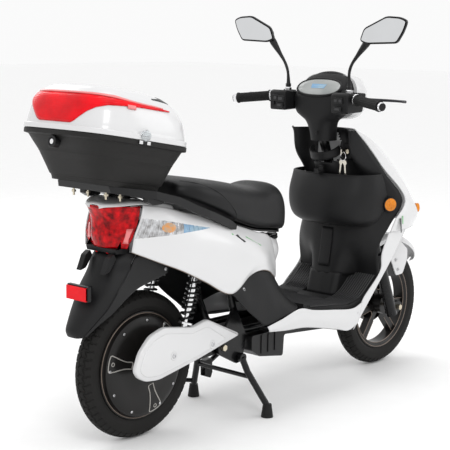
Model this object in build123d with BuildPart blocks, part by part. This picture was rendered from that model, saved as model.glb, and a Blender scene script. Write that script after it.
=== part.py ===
from build123d import *
import os
from math import cos, radians, sin

os.makedirs("parts", exist_ok=True)

# Electric moped scooter with a top box. Millimetres, +X forward, +Y to the rider's left, +Z up,
# ground at Z = 0.
# Side views below give (distance ahead of the rear axle, height); REAR_X places the rear axle so that the
# scooter's whole length is centred on X = 0.

# ---------------------------------------------------------------- driving dimensions
REAR_X = -545.0
WHEELBASE = 1178.0
TYRE_R = 215.0
TYRE_HALF_W = 32.0
BEAD_R = 158.0
RIM_HALF_W = 27.0

RAKE = radians(23.0)
STEER_X = 858.0
STEER_Z = 812.0
LEG_AHEAD = 33.0
LEG_Y = 85.0
STANCHION_R = 15.0
SLIDER_R = 20.0
STEERER_R = 16.0
RUNNING = 0.05

PIVOT_X = 285.0
PIVOT_Z = 226.0
STAND_X = 357.0
STAND_Z = 184.0
SHOCK_Y = 84.0
SHOCK_LOW = (108.0, 292.0)
SHOCK_TOP = (172.0, 494.0)

BAR_R = 11.0
GRIP_INNER = (793.0, 181.0, 956.0)
GRIP_OUTER = (755.0, 295.0, 944.0)
MIRROR_BASE = (820.0, 127.0)

SEAT_HINGE = (608.0, 528.0)
SIDE_STAND = (545.0, 165.0)
BOX_X = -131.0
BOX_Z = 761.0
BOX_TILT = radians(9.8)
BOX_RIM_H = 117.0
WALL = 4.0


# ---------------------------------------------------------------- helpers
def at(x, y, z):
    """Point in the row frame from a distance ahead of the rear axle, a side offset and a height."""
    return Vector(REAR_X + x, y, z)


def closed_face(plane, points, radius):
    with BuildSketch(plane) as outline:
        with BuildLine():
            if radius:
                FilletPolyline(*points, radius=radius, close=True)
            else:
                Polyline(*points, close=True)
        make_face()
    return outline.sketch


def side_face(points, y=0.0, radius=0.0):
    """Side-view outline of (x, z) points at y; extruding it by a positive amount goes towards -Y."""
    plane = Plane(origin=(REAR_X, y, 0), x_dir=(1, 0, 0), z_dir=(0, -1, 0))
    return closed_face(plane, points, radius)


def plan_face(points, z=0.0, radius=0.0):
    """Plan outline of (x, y) points at height z; extruding it by a positive amount goes up."""
    return closed_face(Plane(origin=(REAR_X, 0, z)), points, radius)


def front_face(points, x=0.0, radius=0.0):
    """Outline of (y, z) points at x; extruding it by a positive amount goes forward."""
    plane = Plane(origin=(REAR_X + x, 0, 0), x_dir=(0, 1, 0), z_dir=(1, 0, 0))
    return closed_face(plane, points, radius)


def disc(centre, direction, radius):
    """Round face at a point, square to a direction."""
    with BuildSketch(Plane(origin=centre, z_dir=direction)) as outline:
        Circle(radius)
    return outline.sketch


def both_sides(points):
    """Plan points given for +Y, closed by their mirror image on -Y."""
    return points + [(x, -y) for x, y in reversed(points) if y > 0]


def offset_line(points, distance):
    """Open line moved sideways by a distance, to the left of its direction, with mitred corners."""
    directions = []
    for (x0, y0), (x1, y1) in zip(points, points[1:]):
        length = ((x1 - x0) ** 2 + (y1 - y0) ** 2) ** 0.5
        directions.append(((x1 - x0) / length, (y1 - y0) / length))
    moved = []
    for i, (x, y) in enumerate(points):
        before = directions[max(i - 1, 0)]
        after = directions[min(i, len(directions) - 1)]
        nx, ny = -(before[1] + after[1]), before[0] + after[0]
        scale = distance / max((nx * -after[1] + ny * after[0]), 0.35 * (nx**2 + ny**2) ** 0.5)
        moved.append((x + nx * scale, y + ny * scale))
    return moved


def wrap_band(half, thickness):
    """Closed band that follows a line given from the centre plane outwards, on both sides of it."""
    line = [(x, -y) for x, y in reversed(half) if y > 0] + half
    return line + list(reversed(offset_line(line, thickness)))


def on_axis(s, ahead=0.0, y=0.0):
    """Point s down the steering axis and a distance in front of it."""
    x = STEER_X + s * sin(RAKE) + ahead * cos(RAKE)
    z = STEER_Z - s * cos(RAKE) + ahead * sin(RAKE)
    return at(x, y, z)


def on_shock(t, y):
    """Point a distance t up from the lower eye of a shock absorber."""
    lean = Vector(SHOCK_TOP[0] - SHOCK_LOW[0], 0, SHOCK_TOP[1] - SHOCK_LOW[1]).normalized()
    return at(SHOCK_LOW[0], y, SHOCK_LOW[1]) + lean * t


def box_plane(w=0.0):
    """Plane parallel to the bottom of the top box, a height w above it."""
    up = Vector(sin(BOX_TILT), 0, cos(BOX_TILT))
    along = Vector(cos(BOX_TILT), 0, -sin(BOX_TILT))
    return Plane(origin=at(BOX_X, 0, BOX_Z) + up * w, x_dir=along, z_dir=up)


def box_section(half_long, half_wide, corner, shift, w):
    with BuildSketch(box_plane(w)) as outline:
        with Locations((shift, 0)):
            RectangleRounded(2 * half_long, 2 * half_wide, corner)
    return outline.sketch


def box_side_face(points, y):
    """Outline of (along, up) points in the top box's own frame, up being counted from its rim."""
    plane = Plane(origin=box_plane(BOX_RIM_H).origin + LATERAL * y, x_dir=box_plane().x_dir,
                  z_dir=(0, -1, 0))
    return closed_face(plane, points, 0)


def bent_tube(points, radius, bend):
    """Round tube along straight runs joined by arcs."""
    with BuildPart() as tube:
        with BuildLine() as run:
            FilletPolyline(*points, radius=bend)
        with BuildSketch(Plane(origin=run.line @ 0, z_dir=run.line % 0)):
            Circle(radius)
        sweep(path=run.line)
    return tube.part


def save(piece, name):
    piece.part.label = name
    export_step(piece.part, f"parts/{name}.step")


UP_AXIS = Vector(-sin(RAKE), 0, cos(RAKE))
SHOCK_DIR = Vector(SHOCK_TOP[0] - SHOCK_LOW[0], 0, SHOCK_TOP[1] - SHOCK_LOW[1]).normalized()
SHOCK_LENGTH = Vector(SHOCK_TOP[0] - SHOCK_LOW[0], 0, SHOCK_TOP[1] - SHOCK_LOW[1]).length
LATERAL = Vector(0, 1, 0)


# ---------------------------------------------------------------- frame and bolts
RAIL_Y = 70.0
RAIL_Z = 262.0
RAIL_R = 11.0
with BuildPart() as main_frame:
    extrude(disc(on_axis(150), -UP_AXIS, 24), amount=150)
    with BuildLine() as down_line:
        FilletPolyline(on_axis(200), at(903, 0, 340), at(862, 0, RAIL_Z), radius=60)
    with BuildSketch(Plane(origin=down_line.line @ 0, z_dir=down_line.line % 0)):
        Circle(20)
    sweep(path=down_line.line)
    extrude(disc(at(858, -RAIL_Y, RAIL_Z), LATERAL, 14), amount=2 * RAIL_Y)
    for sign in (-1, 1):
        rail = [at(858, sign * RAIL_Y, RAIL_Z), at(378, sign * RAIL_Y, RAIL_Z), at(338, sign * RAIL_Y, 345)]
        rail += [at(300, sign * RAIL_Y, 478), at(215, sign * RAIL_Y, 545), at(-66, sign * RAIL_Y, 643)]
        add(bent_tube(rail, RAIL_R, 30))
        seat_stay = [at(298, sign * RAIL_Y, 476), at(430, sign * 60, 522), at(587, sign * 26, 525)]
        add(bent_tube(seat_stay, 8, 60))
        plate = [(263, 236), (266, 208), (345, 166), (372, 170), (388, 246), (366, 292), (336, 345),
                 (318, 322)]
        extrude(side_face(plate, y=sign * 79 + 5, radius=6), amount=10)
        ear = [(160, 482), (184, 482), (192, 560), (150, 575)]
        extrude(side_face(ear, y=sign * 68 + 3, radius=5), amount=6)
        extrude(disc(at(SHOCK_TOP[0], sign * 66, SHOCK_TOP[1]), LATERAL * sign, 5), amount=34)
        post = [(-76, 640), (-50, 634), (-50, 718), (-76, 722)]
        extrude(side_face(post, y=sign * 30 + 4), amount=8)
    extrude(disc(at(-62, -RAIL_Y, 641), LATERAL, 9), amount=2 * RAIL_Y)
    extrude(disc(at(225, -RAIL_Y, 541), LATERAL, 9), amount=2 * RAIL_Y)
    extrude(disc(at(587, -26, 525), LATERAL, 7), amount=52)
    hinge_ear = [(584, 520), (606, 519), (616, 527), (606, 535), (586, 533)]
    extrude(side_face(hinge_ear, y=12, radius=4), amount=24)
    stand_ear = [(522, 157), (544, 149), (566, 157), (568, 183), (552, 262), (528, 262)]
    extrude(side_face(stand_ear, y=111, radius=6), amount=6)
    extrude(disc(at(540, 70, RAIL_Z), LATERAL, 8), amount=40)
    extrude(disc(on_axis(149), -UP_AXIS, STEERER_R + RUNNING), amount=152, mode=Mode.SUBTRACT)
    for hole_x, hole_z, hole_r in ((PIVOT_X, PIVOT_Z, 6.2), (STAND_X, STAND_Z, 8 + RUNNING)):
        extrude(disc(at(hole_x, -100, hole_z), LATERAL, hole_r), amount=200, mode=Mode.SUBTRACT)
    extrude(disc(at(SIDE_STAND[0], 100, SIDE_STAND[1]), LATERAL, 5 + RUNNING), amount=20,
            mode=Mode.SUBTRACT)
    extrude(disc(at(SEAT_HINGE[0], -20, SEAT_HINGE[1]), LATERAL, 3 + RUNNING), amount=40,
            mode=Mode.SUBTRACT)
save(main_frame, "main_frame")

RACK_BOLTS = ((-170, -66), (-170, 66), (-118, -66), (-118, 66))
with BuildPart() as chassis_fasteners:
    extrude(disc(at(PIVOT_X, -92, PIVOT_Z), LATERAL, 6), amount=184)
    for sign in (-1, 1):
        with BuildSketch(Plane(origin=at(PIVOT_X, sign * 84.5, PIVOT_Z), z_dir=LATERAL * sign)):
            RegularPolygon(10, 6)
        extrude(amount=8)
    for bolt_x, bolt_y in RACK_BOLTS:
        seat_z = 702.0 - 0.185 * bolt_x
        extrude(disc(at(bolt_x, bolt_y, seat_z - 18), Vector(0, 0, 1), 3), amount=34)
        with BuildSketch(Plane(origin=at(bolt_x, bolt_y, seat_z - 9))):
            RegularPolygon(6.5, 6)
        extrude(amount=6)
save(chassis_fasteners, "chassis_fasteners")

# ---------------------------------------------------------------- battery box, floor and trims
with BuildPart() as battery_box:
    case = [(392, 200), (430, 176), (541, 158), (546, 226), (812, 206), (824, 224), (826, 246), (392, 246)]
    extrude(side_face(case, y=104, radius=8), amount=208)
    for rib_x in (440, 472, 504):
        rib = [(rib_x - 5, 184), (rib_x + 5, 184), (rib_x + 5, 242), (rib_x - 5, 242)]
        extrude(side_face(rib, y=107), amount=214)
save(battery_box, "battery_box")

FLOOR_TOP = [(562, 330), (600, 312), (800, 292), (868, 306), (948, 368)]
with BuildPart() as floorboard:
    underside = [(948, 360), (872, 297), (842, 279), (596, 284), (562, 316)]
    extrude(side_face(FLOOR_TOP + underside, y=166), amount=332)
    tunnel_gap = [(838, -64), (960, -64), (960, 64), (838, 64)]
    extrude(plan_face(tunnel_gap, z=270), amount=120, mode=Mode.SUBTRACT)
save(floorboard, "floorboard")

with BuildPart() as floor_trims:
    skin = [(382, 286), (536, 321), (600, 306), (812, 279), (850, 290), (834, 232), (814, 206), (558, 258)]
    skin += [(470, 262), (392, 272)]
    flange = [(420, 270), (560, 262), (800, 212), (826, 236), (838, 272), (600, 276)]
    extrude(side_face(skin, y=174), amount=6)
    extrude(side_face(flange, y=170), amount=42)
    mirror(about=Plane.XZ)
save(floor_trims, "floor_trims")

# ---------------------------------------------------------------- rear bodywork
ARCH = [(230, 410), (270, 434), (318, 455), (369, 462), (420, 452), (477, 425), (521, 408)]
with BuildPart() as rear_cowl:
    hood = ARCH + [(556, 352), (548, 334), (536, 325), (384, 291)]
    extrude(side_face(hood, y=168), amount=336)
    section = [(-168, 280), (-168, 380), (-124, 470), (124, 470), (168, 380), (168, 280)]
    extrude(front_face(section, x=200), amount=400, mode=Mode.INTERSECT)
    inside = [(180, 400), (270, 429), (318, 450), (369, 457), (420, 447), (475, 420), (517, 404),
              (551, 352)]
    inside += [(545, 338), (534, 331), (536, 270), (180, 270)]
    with BuildPart(mode=Mode.PRIVATE) as hollow:
        extrude(side_face(inside, y=164), amount=328)
        inner_section = [(-164, 260), (-164, 379), (-121, 466), (121, 466), (164, 379), (164, 260)]
        extrude(front_face(inner_section, x=100), amount=500, mode=Mode.INTERSECT)
    add(hollow.part, mode=Mode.SUBTRACT)
    shaft = [(200, -112), (462, -112), (462, 112), (200, 112)]
    extrude(plan_face(shaft, z=250), amount=250, mode=Mode.SUBTRACT)
save(rear_cowl, "rear_cowl")

FAIRING_EDGE = [(-66, 694), (0, 683), (60, 668), (86, 659), (160, 644), (262, 612), (400, 568), (468, 552)]
FAIRING_EDGE += [(506, 505), (523, 413)]
FAIRING_LOW = [(223, 415), (113, 466), (32, 506), (-102, 566), (-104, 596), (-78, 660)]
FAIRING_PLAN = [(-134, 92), (-66, 107), (0, 134), (100, 160), (220, 174), (300, 168), (380, 150),
                (450, 124)]
FAIRING_PLAN += [(500, 100), (530, 84)]
LENS_GAP = [(-104, 668), (-72, 672), (148, 621), (154, 612), (-116, 597)]
for side, sign in (("left", 1), ("right", -1)):
    with BuildPart() as fairing:
        arch_edge = [(x, z + 4) for x, z in reversed(ARCH[1:])]
        outline = FAIRING_EDGE + arch_edge + FAIRING_LOW
        extrude(side_face(outline, y=200 if sign > 0 else -60), amount=140)
        outer = [(x, sign * y) for x, y in FAIRING_PLAN]
        inner = [(x, sign * (y - WALL - 1)) for x, y in reversed(FAIRING_PLAN)]
        extrude(plan_face(outer + inner, z=380), amount=360, mode=Mode.INTERSECT)
        extrude(side_face(LENS_GAP, y=200 if sign > 0 else -60), amount=140, mode=Mode.SUBTRACT)
    save(fairing, f"side_fairing_{side}")

with BuildPart() as rear_signal_lenses:
    window = [(-76, 661), (-70, 669), (146, 618), (150, 613), (-98, 599)]
    extrude(side_face(window, y=200), amount=140)
    outer = [(x, y + 1) for x, y in FAIRING_PLAN[:6]]
    inner = [(x, y - 4) for x, y in reversed(FAIRING_PLAN[:6])]
    extrude(plan_face(outer + inner, z=380), amount=360, mode=Mode.INTERSECT)
    mirror(about=Plane.XZ)
save(rear_signal_lenses, "rear_signal_lenses")

LAMP_PLAN = [(-152, 0), (-144, 36), (-118, 68), (-92, 92), (-74, 100)]
with BuildPart() as tail_lamp_lens:
    lens_side = [(-72, 686), (-160, 690), (-150, 640), (-130, 572), (-104, 572), (-96, 606), (-84, 662)]
    extrude(side_face(lens_side, y=130), amount=260)
    extrude(plan_face(wrap_band(LAMP_PLAN, -WALL), z=540), amount=170, mode=Mode.INTERSECT)
save(tail_lamp_lens, "tail_lamp_lens")

with BuildPart() as tail_cover:
    deck = [(-156, 692), (-154, 697), (-62, 706), (44, 682), (44, 677), (-62, 700)]
    extrude(side_face(deck, y=110), amount=220)
    deck_plan = [(-154, -34), (-122, -68), (-72, -100), (60, -110), (60, 110), (-72, 100),
                 (-122, 68), (-154, 34)]
    extrude(plan_face(deck_plan, z=650), amount=80, mode=Mode.INTERSECT)
    for sign in (-1, 1):
        slot = [(-82, sign * 30 - 6), (-44, sign * 30 - 6), (-44, sign * 30 + 6), (-82, sign * 30 + 6)]
        extrude(plan_face(slot, z=650), amount=80, mode=Mode.SUBTRACT)
save(tail_cover, "tail_cover")

with BuildPart() as seat_front_panel:
    front = [(512, 520), (596, 512), (590, 490), (564, 448), (530, 414), (512, 414)]
    extrude(side_face(front, y=90), amount=180)
    panel_plan = [(600, 0), (598, 40), (570, 68), (530, 76), (512, 78)]
    extrude(plan_face(wrap_band(panel_plan, WALL), z=400), amount=140, mode=Mode.INTERSECT)
    with BuildPart(mode=Mode.PRIVATE) as lower_face:
        slope = [(596, 512), (590, 490), (564, 448), (530, 414), (525, 417), (559, 450), (585, 492),
                 (590, 512)]
        extrude(side_face(slope, y=66), amount=132)
    add(lower_face.part)
save(seat_front_panel, "seat_front_panel")

FENDER_BACK = [(-60, 556), (-116, 560), (-138, 540), (-182, 470), (-230, 376), (-240, 350), (-230, 338)]
with BuildPart() as rear_fender:
    inner_line = [(-220, 346), (-224, 370), (-176, 462), (-132, 530), (-110, 548), (-60, 545)]
    extrude(side_face(FENDER_BACK + inner_line, y=78), amount=156)
    taper = [(-80, 78), (-130, 78), (-166, 68), (-220, 40), (-246, 20)]
    extrude(plan_face(both_sides(taper), z=300), amount=300, mode=Mode.INTERSECT)
    extrude(side_face([(-60, 556), (-100, 558), (-100, 546), (-60, 545)], y=78), amount=156)
    for sign in (-1, 1):
        flank = [(38, 512), (-60, 556), (-110, 552), (-132, 530), (-150, 500), (-146, 424), (-110, 452)]
        flank += [(-40, 484), (32, 496)]
        extrude(side_face(flank, y=sign * 76 + 2), amount=4)
        bracket = [(-136, 556), (-154, 546), (-168, 506), (-154, 510), (-128, 545)]
        extrude(side_face(bracket, y=sign * 48 + 9), amount=18)
    lamp_back = [(-116, 558), (-126, 562), (-124, 569), (-98, 569), (-92, 580), (-86, 660),
                 (-80, 660), (-80, 552)]
    extrude(side_face(lamp_back, y=58), amount=116)
    for sign in (-1, 1):
        extrude(disc(at(-180, sign * 26, 490), Vector(1, 0, 0), 3.2), amount=60, mode=Mode.SUBTRACT)
save(rear_fender, "rear_fender")

with BuildPart() as fender_reflector:
    block = [(-222, 436), (-212, 436), (-212, 474), (-222, 474)]
    extrude(side_face(block, y=40), amount=80)
    stalk = [(-212, 450), (-194, 450), (-190, 458), (-212, 464)]
    extrude(side_face(stalk, y=9), amount=18)
save(fender_reflector, "fender_reflector")

# ---------------------------------------------------------------- leg shield, pocket and front apron
KEY_Y = 69.0
KEY_Z = 779.0
SHIELD_LEVELS = {
    853: [(912, 0), (911, 36), (906, 54), (896, 76), (852, 90), (886, 97)],
    780: [(838, 0), (842, 36), (910, 52), (912, 88), (852, 106), (942, 126)],
    700: [(870, 0), (873, 42), (915, 62), (918, 98), (920, 130), (984, 164)],
    618: [(900, 0), (902, 46), (920, 80), (930, 110), (945, 138), (1032, 197)],
    468: [(888, 0), (890, 56), (905, 90), (918, 120), (936, 148), (950, 167)],
    372: [(872, 0), (874, 56), (956, 80), (957, 100), (957, 130), (958, 165)],
}
with BuildPart() as leg_shield:
    sections = [plan_face(wrap_band(half, -5.0), z) for z, half in sorted(SHIELD_LEVELS.items())]
    loft(sections, ruled=True)
    tunnel = [(846, 0), (848, 48), (862, 60), (900, 61), (945, 61)]
    tunnel_top = [(871, 0), (873, 48), (882, 60), (905, 61), (945, 61)]
    loft([plan_face(wrap_band(tunnel, -5.0), 296), plan_face(wrap_band(tunnel_top, -5.0), 374)], ruled=True)
    extrude(disc(on_axis(60), UP_AXIS, 52), amount=150, mode=Mode.SUBTRACT)
    extrude(disc(at(898, -KEY_Y, KEY_Z), Vector(1, 0, 0), 14), amount=18)
    extrude(disc(at(890, -KEY_Y, KEY_Z), Vector(1, 0, 0), 8 + RUNNING), amount=30, mode=Mode.SUBTRACT)
    for sign in (-1, 1):
        hook_ear = [(840, 724), (840, 735), (860, 735), (866, 724)]
        extrude(side_face(hook_ear, y=sign * 11 + 1.5), amount=3)
    extrude(disc(at(845, -14, 729.5), LATERAL, 2.5 + RUNNING), amount=28, mode=Mode.SUBTRACT)
save(leg_shield, "leg_shield")

POCKET_LEVELS = {
    702: [(843, 0), (848, 75), (872, 135), (915, 158), (962, 162)],
    640: [(815, 0), (822, 75), (855, 138), (905, 165), (976, 174)],
    585: [(808, 0), (815, 70), (850, 130), (905, 160), (966, 170)],
    545: [(838, 0), (845, 60), (868, 108), (900, 138), (930, 152)],
}
with BuildPart() as storage_pocket:
    sections = [plan_face(wrap_band(half, -4.0), z) for z, half in sorted(POCKET_LEVELS.items())]
    loft(sections, ruled=True)
    bottom = POCKET_LEVELS[545] + [(925, 135), (906, 100), (890, 52), (888, 0)]
    extrude(plan_face(bottom + [(x, -y) for x, y in reversed(bottom) if y > 0], 545), amount=5)
save(storage_pocket, "storage_pocket")

APRON_LEVELS = {
    850: [(948, 0), (935, 60), (912, 85), (897, 95)],
    808: [(1046, 0), (1022, 70), (975, 98), (932, 114)],
    730: [(1146, 0), (1112, 80), (1045, 132), (974, 154)],
    618: [(1238, 0), (1200, 100), (1135, 158), (1040, 205)],
    551: [(1285, 0), (1245, 112), (1140, 168), (1000, 194)],
    512: [(1270, 0), (1224, 108), (1112, 170), (988, 185)],
}
with BuildPart() as front_apron:
    sections = [plan_face(wrap_band(half, 4.0), z) for z, half in sorted(APRON_LEVELS.items())]
    loft(sections, ruled=True)
    skirt = [(819, 206), (860, 249), (933, 327), (1017, 414), (1094, 516), (988, 516), (975, 480),
             (958, 440), (962, 385)]
    skirt += [(858, 294), (840, 236)]
    for sign in (-1, 1):
        extrude(side_face(skirt, y=174 if sign > 0 else -170), amount=4)
save(front_apron, "front_apron")

with BuildPart() as amber_lenses:
    for sign in (-1, 1):
        extrude(disc(at(984, sign * 182, 606), Vector(-0.45, sign * 0.9, 0), 21), amount=9)
        extrude(disc(at(1262, sign * 98, 560), Vector(0.85, sign * 0.52, 0), 16), amount=10)
save(amber_lenses, "amber_lenses")

with BuildPart() as ignition_key:
    extrude(disc(at(893, -KEY_Y, KEY_Z), Vector(1, 0, 0), 8), amount=18)
    blade = [(-KEY_Y - 2, KEY_Z - 9), (-KEY_Y + 2, KEY_Z - 9), (-KEY_Y + 2, KEY_Z + 9),
             (-KEY_Y - 2, KEY_Z + 9)]
    extrude(front_face(blade, x=862), amount=32)
save(ignition_key, "ignition_key")

with BuildPart() as bag_hook:
    hook = [(840, 729), (844, 729), (844, 716), (828, 713), (824, 723), (819, 722), (822, 707), (849, 710)]
    hook += [(849, 722), (846, 734), (841, 734)]
    extrude(side_face(hook, y=9), amount=18)
    extrude(disc(at(845, -12, 729.5), LATERAL, 2.5), amount=24)
save(bag_hook, "bag_hook")

# ---------------------------------------------------------------- rack, top box
RAIL_TOP = [(-195, 757), (-60, 736), (30, 712), (100, 683), (180, 652), (262, 619), (292, 603)]
with BuildPart() as rack_rail:
    underside = [(288, 590), (252, 598), (176, 630), (92, 661), (26, 690), (-60, 714), (-190, 738)]
    extrude(side_face(RAIL_TOP + underside, y=156), amount=312)
    hoop = [(-196, 104), (-150, 132), (-60, 150), (150, 152), (240, 146), (293, 126)]
    extrude(plan_face(both_sides(hoop), z=560), amount=220, mode=Mode.INTERSECT)
    well = [(-24, 112), (40, 117), (160, 118), (240, 112), (320, 92)]
    extrude(plan_face(both_sides(well), z=560), amount=220, mode=Mode.SUBTRACT)
    for sign in (-1, 1):
        lug = [(-84, 728), (-20, 712), (-24, 700), (-34, 697), (-64, 697), (-84, 708)]
        extrude(side_face(lug, y=sign * 130 + 10), amount=20)
        slot = [(-77, sign * 30 - 5), (-49, sign * 30 - 5), (-49, sign * 30 + 5), (-77, sign * 30 + 5)]
        extrude(plan_face(slot, z=600), amount=200, mode=Mode.SUBTRACT)
    for bolt_x, bolt_y in RACK_BOLTS:
        extrude(disc(at(bolt_x, bolt_y, 600), Vector(0, 0, 1), 4), amount=160, mode=Mode.SUBTRACT)
save(rack_rail, "rack_rail")

hinge_point = box_plane(BOX_RIM_H + 5).origin + box_plane().x_dir * 203
with BuildPart() as box_base:
    loft([box_section(129, 125, 58, 18, 0), box_section(184, 182, 108, 0, BOX_RIM_H - 13)], ruled=True)
    with BuildSketch(box_plane(BOX_RIM_H - 13)):
        RectangleRounded(2 * 193, 2 * 191, 118)
    extrude(amount=12)
    loft([box_section(125, 121, 54, 18, WALL), box_section(181, 179, 105, 0, BOX_RIM_H)], ruled=True,
         mode=Mode.SUBTRACT)
    with BuildSketch(box_plane(-8)):
        with GridLocations(190, 150, 2, 2):
            RectangleRounded(44, 36, 8)
    extrude(amount=8)
    for sign in (-1, 1):
        for shift in (-17, 17):
            ear = [(186, -12), (200, -13), (209, 0), (208, 9), (199, 10), (197, 2), (194, -2), (186, -2)]
            extrude(box_side_face(ear, sign * 60 + shift + 4), amount=8)
        extrude(disc(hinge_point + LATERAL * (sign * 60 - 20), LATERAL, 2.5), amount=40)
    lock_face = box_plane(84).origin + box_plane().x_dir * -186
    extrude(disc(lock_face, box_plane().x_dir, 17), amount=14)
    extrude(disc(lock_face - box_plane().x_dir, box_plane().x_dir, 7 + RUNNING), amount=12,
            mode=Mode.SUBTRACT)
save(box_base, "box_base")

LID_SECTIONS = ((193, 191, 118, 0, 0), (193, 191, 118, 0, 14), (188, 186, 114, -1, 16),
                (178, 178, 106, -4, 62))
LID_SECTIONS += ((150, 154, 92, -16, 108), (96, 104, 60, -30, 132))
with BuildPart() as box_lid:
    sections = [box_section(a, b, c, shift, BOX_RIM_H + w) for a, b, c, shift, w in LID_SECTIONS]
    loft(sections, ruled=True)
    hollow = [box_section(a - 4, b - 4, c - 4, shift, BOX_RIM_H + w) for a, b, c, shift,
              w in LID_SECTIONS[:2]]
    hollow += [box_section(a - 5, b - 5, c - 5, s, BOX_RIM_H + w - 3) for a, b, c, s,
               w in LID_SECTIONS[3:5]]
    hollow += [box_section(90, 98, 55, -30, BOX_RIM_H + 128)]
    loft(hollow, ruled=True, mode=Mode.SUBTRACT)
    for sign in (-1, 1):
        arm = [(188, 3), (204, 1), (209, 5), (204, 11), (188, 13)]
        extrude(box_side_face(arm, sign * 60 + 9), amount=18)
        extrude(disc(hinge_point + LATERAL * (sign * 60 - 12), LATERAL, 2.5 + RUNNING), amount=24,
                mode=Mode.SUBTRACT)
save(box_lid, "box_lid")

with BuildPart() as lid_reflector:
    lens = [(-205, 24), (-188, 24), (-178, 62), (-164, 96), (-150, 112), (-190, 108), (-205, 70)]
    extrude(box_side_face(lens, 150), amount=300)
    loft([box_section(a + 0.6, b + 0.6, c, shift, BOX_RIM_H + w) for a, b, c, shift, w in LID_SECTIONS[2:]],
         ruled=True, mode=Mode.SUBTRACT)
    with BuildSketch(box_plane(BOX_RIM_H)):
        RectangleRounded(2 * 193, 2 * 170, 100)
    extrude(amount=130, mode=Mode.INTERSECT)
save(lid_reflector, "lid_reflector")

for side, sign in (("left", 1), ("right", -1)):
    with BuildPart() as clasp:
        with BuildSketch(box_plane(BOX_RIM_H - 12)):
            with Locations((-30, sign * 194.2)):
                Rectangle(36, 4)
        extrude(amount=27)
        knuckle = box_plane(BOX_RIM_H + 15).origin - box_plane().x_dir * 48 + LATERAL * sign * 194.2
        extrude(disc(knuckle, box_plane().x_dir, 2.5), amount=36)
    save(clasp, f"box_clasp_{side}")

with BuildPart() as box_lock:
    extrude(disc(lock_face - box_plane().x_dir * 2, box_plane().x_dir, 7), amount=11)
save(box_lock, "box_lock")

# ---------------------------------------------------------------- seat
CUSHION_LOW = [(72, 698), (100, 687), (180, 656), (262, 623), (330, 598), (400, 576), (480, 562),
               (563, 552)]
CUSHION_LOW += [(618, 543)]
CUSHION_TOP = [(628, 548), (640, 585), (628, 630), (596, 674), (556, 702), (510, 709), (452, 697),
               (390, 706)]
CUSHION_TOP += [(308, 726), (200, 743), (120, 752), (84, 752), (70, 738)]
with BuildPart() as seat_cushion:
    extrude(side_face(CUSHION_LOW + CUSHION_TOP, y=145), amount=290)
    cushion_plan = [(68, 80), (84, 112), (130, 134), (260, 138), (330, 132), (400, 122), (480, 114),
                    (540, 104)]
    cushion_plan += [(590, 80), (626, 46), (642, 16)]
    extrude(plan_face(both_sides(cushion_plan), z=500), amount=300, mode=Mode.INTERSECT)
save(seat_cushion, "seat_cushion")

with BuildPart() as seat_pan:
    pan_top = [(x, z - 0.5) for x, z in CUSHION_LOW]
    pan_low = [(x, z - 8) for x, z in reversed(CUSHION_LOW)]
    extrude(side_face(pan_top + pan_low, y=104), amount=208)
    pan_plan = [(76, 84), (120, 98), (300, 95), (400, 102), (540, 88), (616, 40)]
    extrude(plan_face(both_sides(pan_plan), z=500), amount=300, mode=Mode.INTERSECT)
    for sign in (-1, 1):
        lug = [(598, 540), (600, 524), (608, 520), (616, 524), (616, 540)]
        extrude(side_face(lug, y=sign * 18 + 4), amount=8)
    extrude(disc(at(SEAT_HINGE[0], -22, SEAT_HINGE[1]), LATERAL, 3), amount=44)
save(seat_pan, "seat_pan")

# ---------------------------------------------------------------- stands
FOOT = (408.0, 157.0)
with BuildPart() as centre_stand:
    extrude(disc(at(STAND_X, -92, STAND_Z), LATERAL, 8), amount=184)
    for sign in (-1, 1):
        extrude(disc(at(STAND_X, sign * 88, STAND_Z), LATERAL * sign, 14), amount=14)
        leg = [at(STAND_X, sign * 96, STAND_Z), at(372, sign * 106, 138), at(FOOT[0], sign * FOOT[1], 34)]
        add(bent_tube(leg, 10, 30))
    extrude(disc(at(378, -110, 122), LATERAL, 7), amount=220)
    extrude(disc(at(398, 144, 56), Vector(-0.6, 0.8, 0), 7), amount=46)
save(centre_stand, "centre_stand")

with BuildPart() as stand_feet:
    for sign in (-1, 1):
        with BuildSketch(Plane(origin=at(FOOT[0], sign * FOOT[1], 0))):
            Circle(19)
        extrude(amount=40, taper=8)
    add(centre_stand.part, mode=Mode.SUBTRACT)
save(stand_feet, "stand_feet")

with BuildPart() as side_stand:
    extrude(disc(at(SIDE_STAND[0], 113, SIDE_STAND[1]), LATERAL, 13), amount=14)
    extrude(disc(at(SIDE_STAND[0], 105.4, SIDE_STAND[1]), LATERAL, 5), amount=8)
    add(bent_tube([at(545, 121.5, 165), at(492, 122, 136), at(440, 122, 112)], 8, 60))
    foot = [(446, 128), (412, 124), (414, 72), (440, 62), (448, 80)]
    extrude(side_face(foot, y=132, radius=5), amount=20)
save(side_stand, "side_stand")

# ---------------------------------------------------------------- swingarm and rear wheel
with BuildPart() as swingarm:
    extrude(disc(at(PIVOT_X, -70, PIVOT_Z), LATERAL, 17), amount=140)
    extrude(disc(at(248, -70, 222), LATERAL, 10), amount=140)
    for sign in (-1, 1):
        arm = [(-24, 200), (24, 192), (150, 200), (296, 206), (304, 226), (290, 246), (150, 254),
               (122, 304)]
        arm += [(96, 304), (84, 250), (20, 240), (-24, 230)]
        extrude(side_face(arm, y=sign * 62 + 5, radius=6), amount=10)
        extrude(disc(at(SHOCK_LOW[0], sign * 66, SHOCK_LOW[1]), LATERAL * sign, 5), amount=31)
        if sign < 0:
            for tab_x, tab_z in ((46, 250), (207, 240)):
                extrude(disc(at(tab_x, -66, tab_z), -LATERAL, 7), amount=32)
    extrude(disc(at(0, -90, TYRE_R), LATERAL, 7.2), amount=180, mode=Mode.SUBTRACT)
    extrude(disc(at(PIVOT_X, -90, PIVOT_Z), LATERAL, 6 + RUNNING), amount=180, mode=Mode.SUBTRACT)
save(swingarm, "swingarm")

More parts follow.
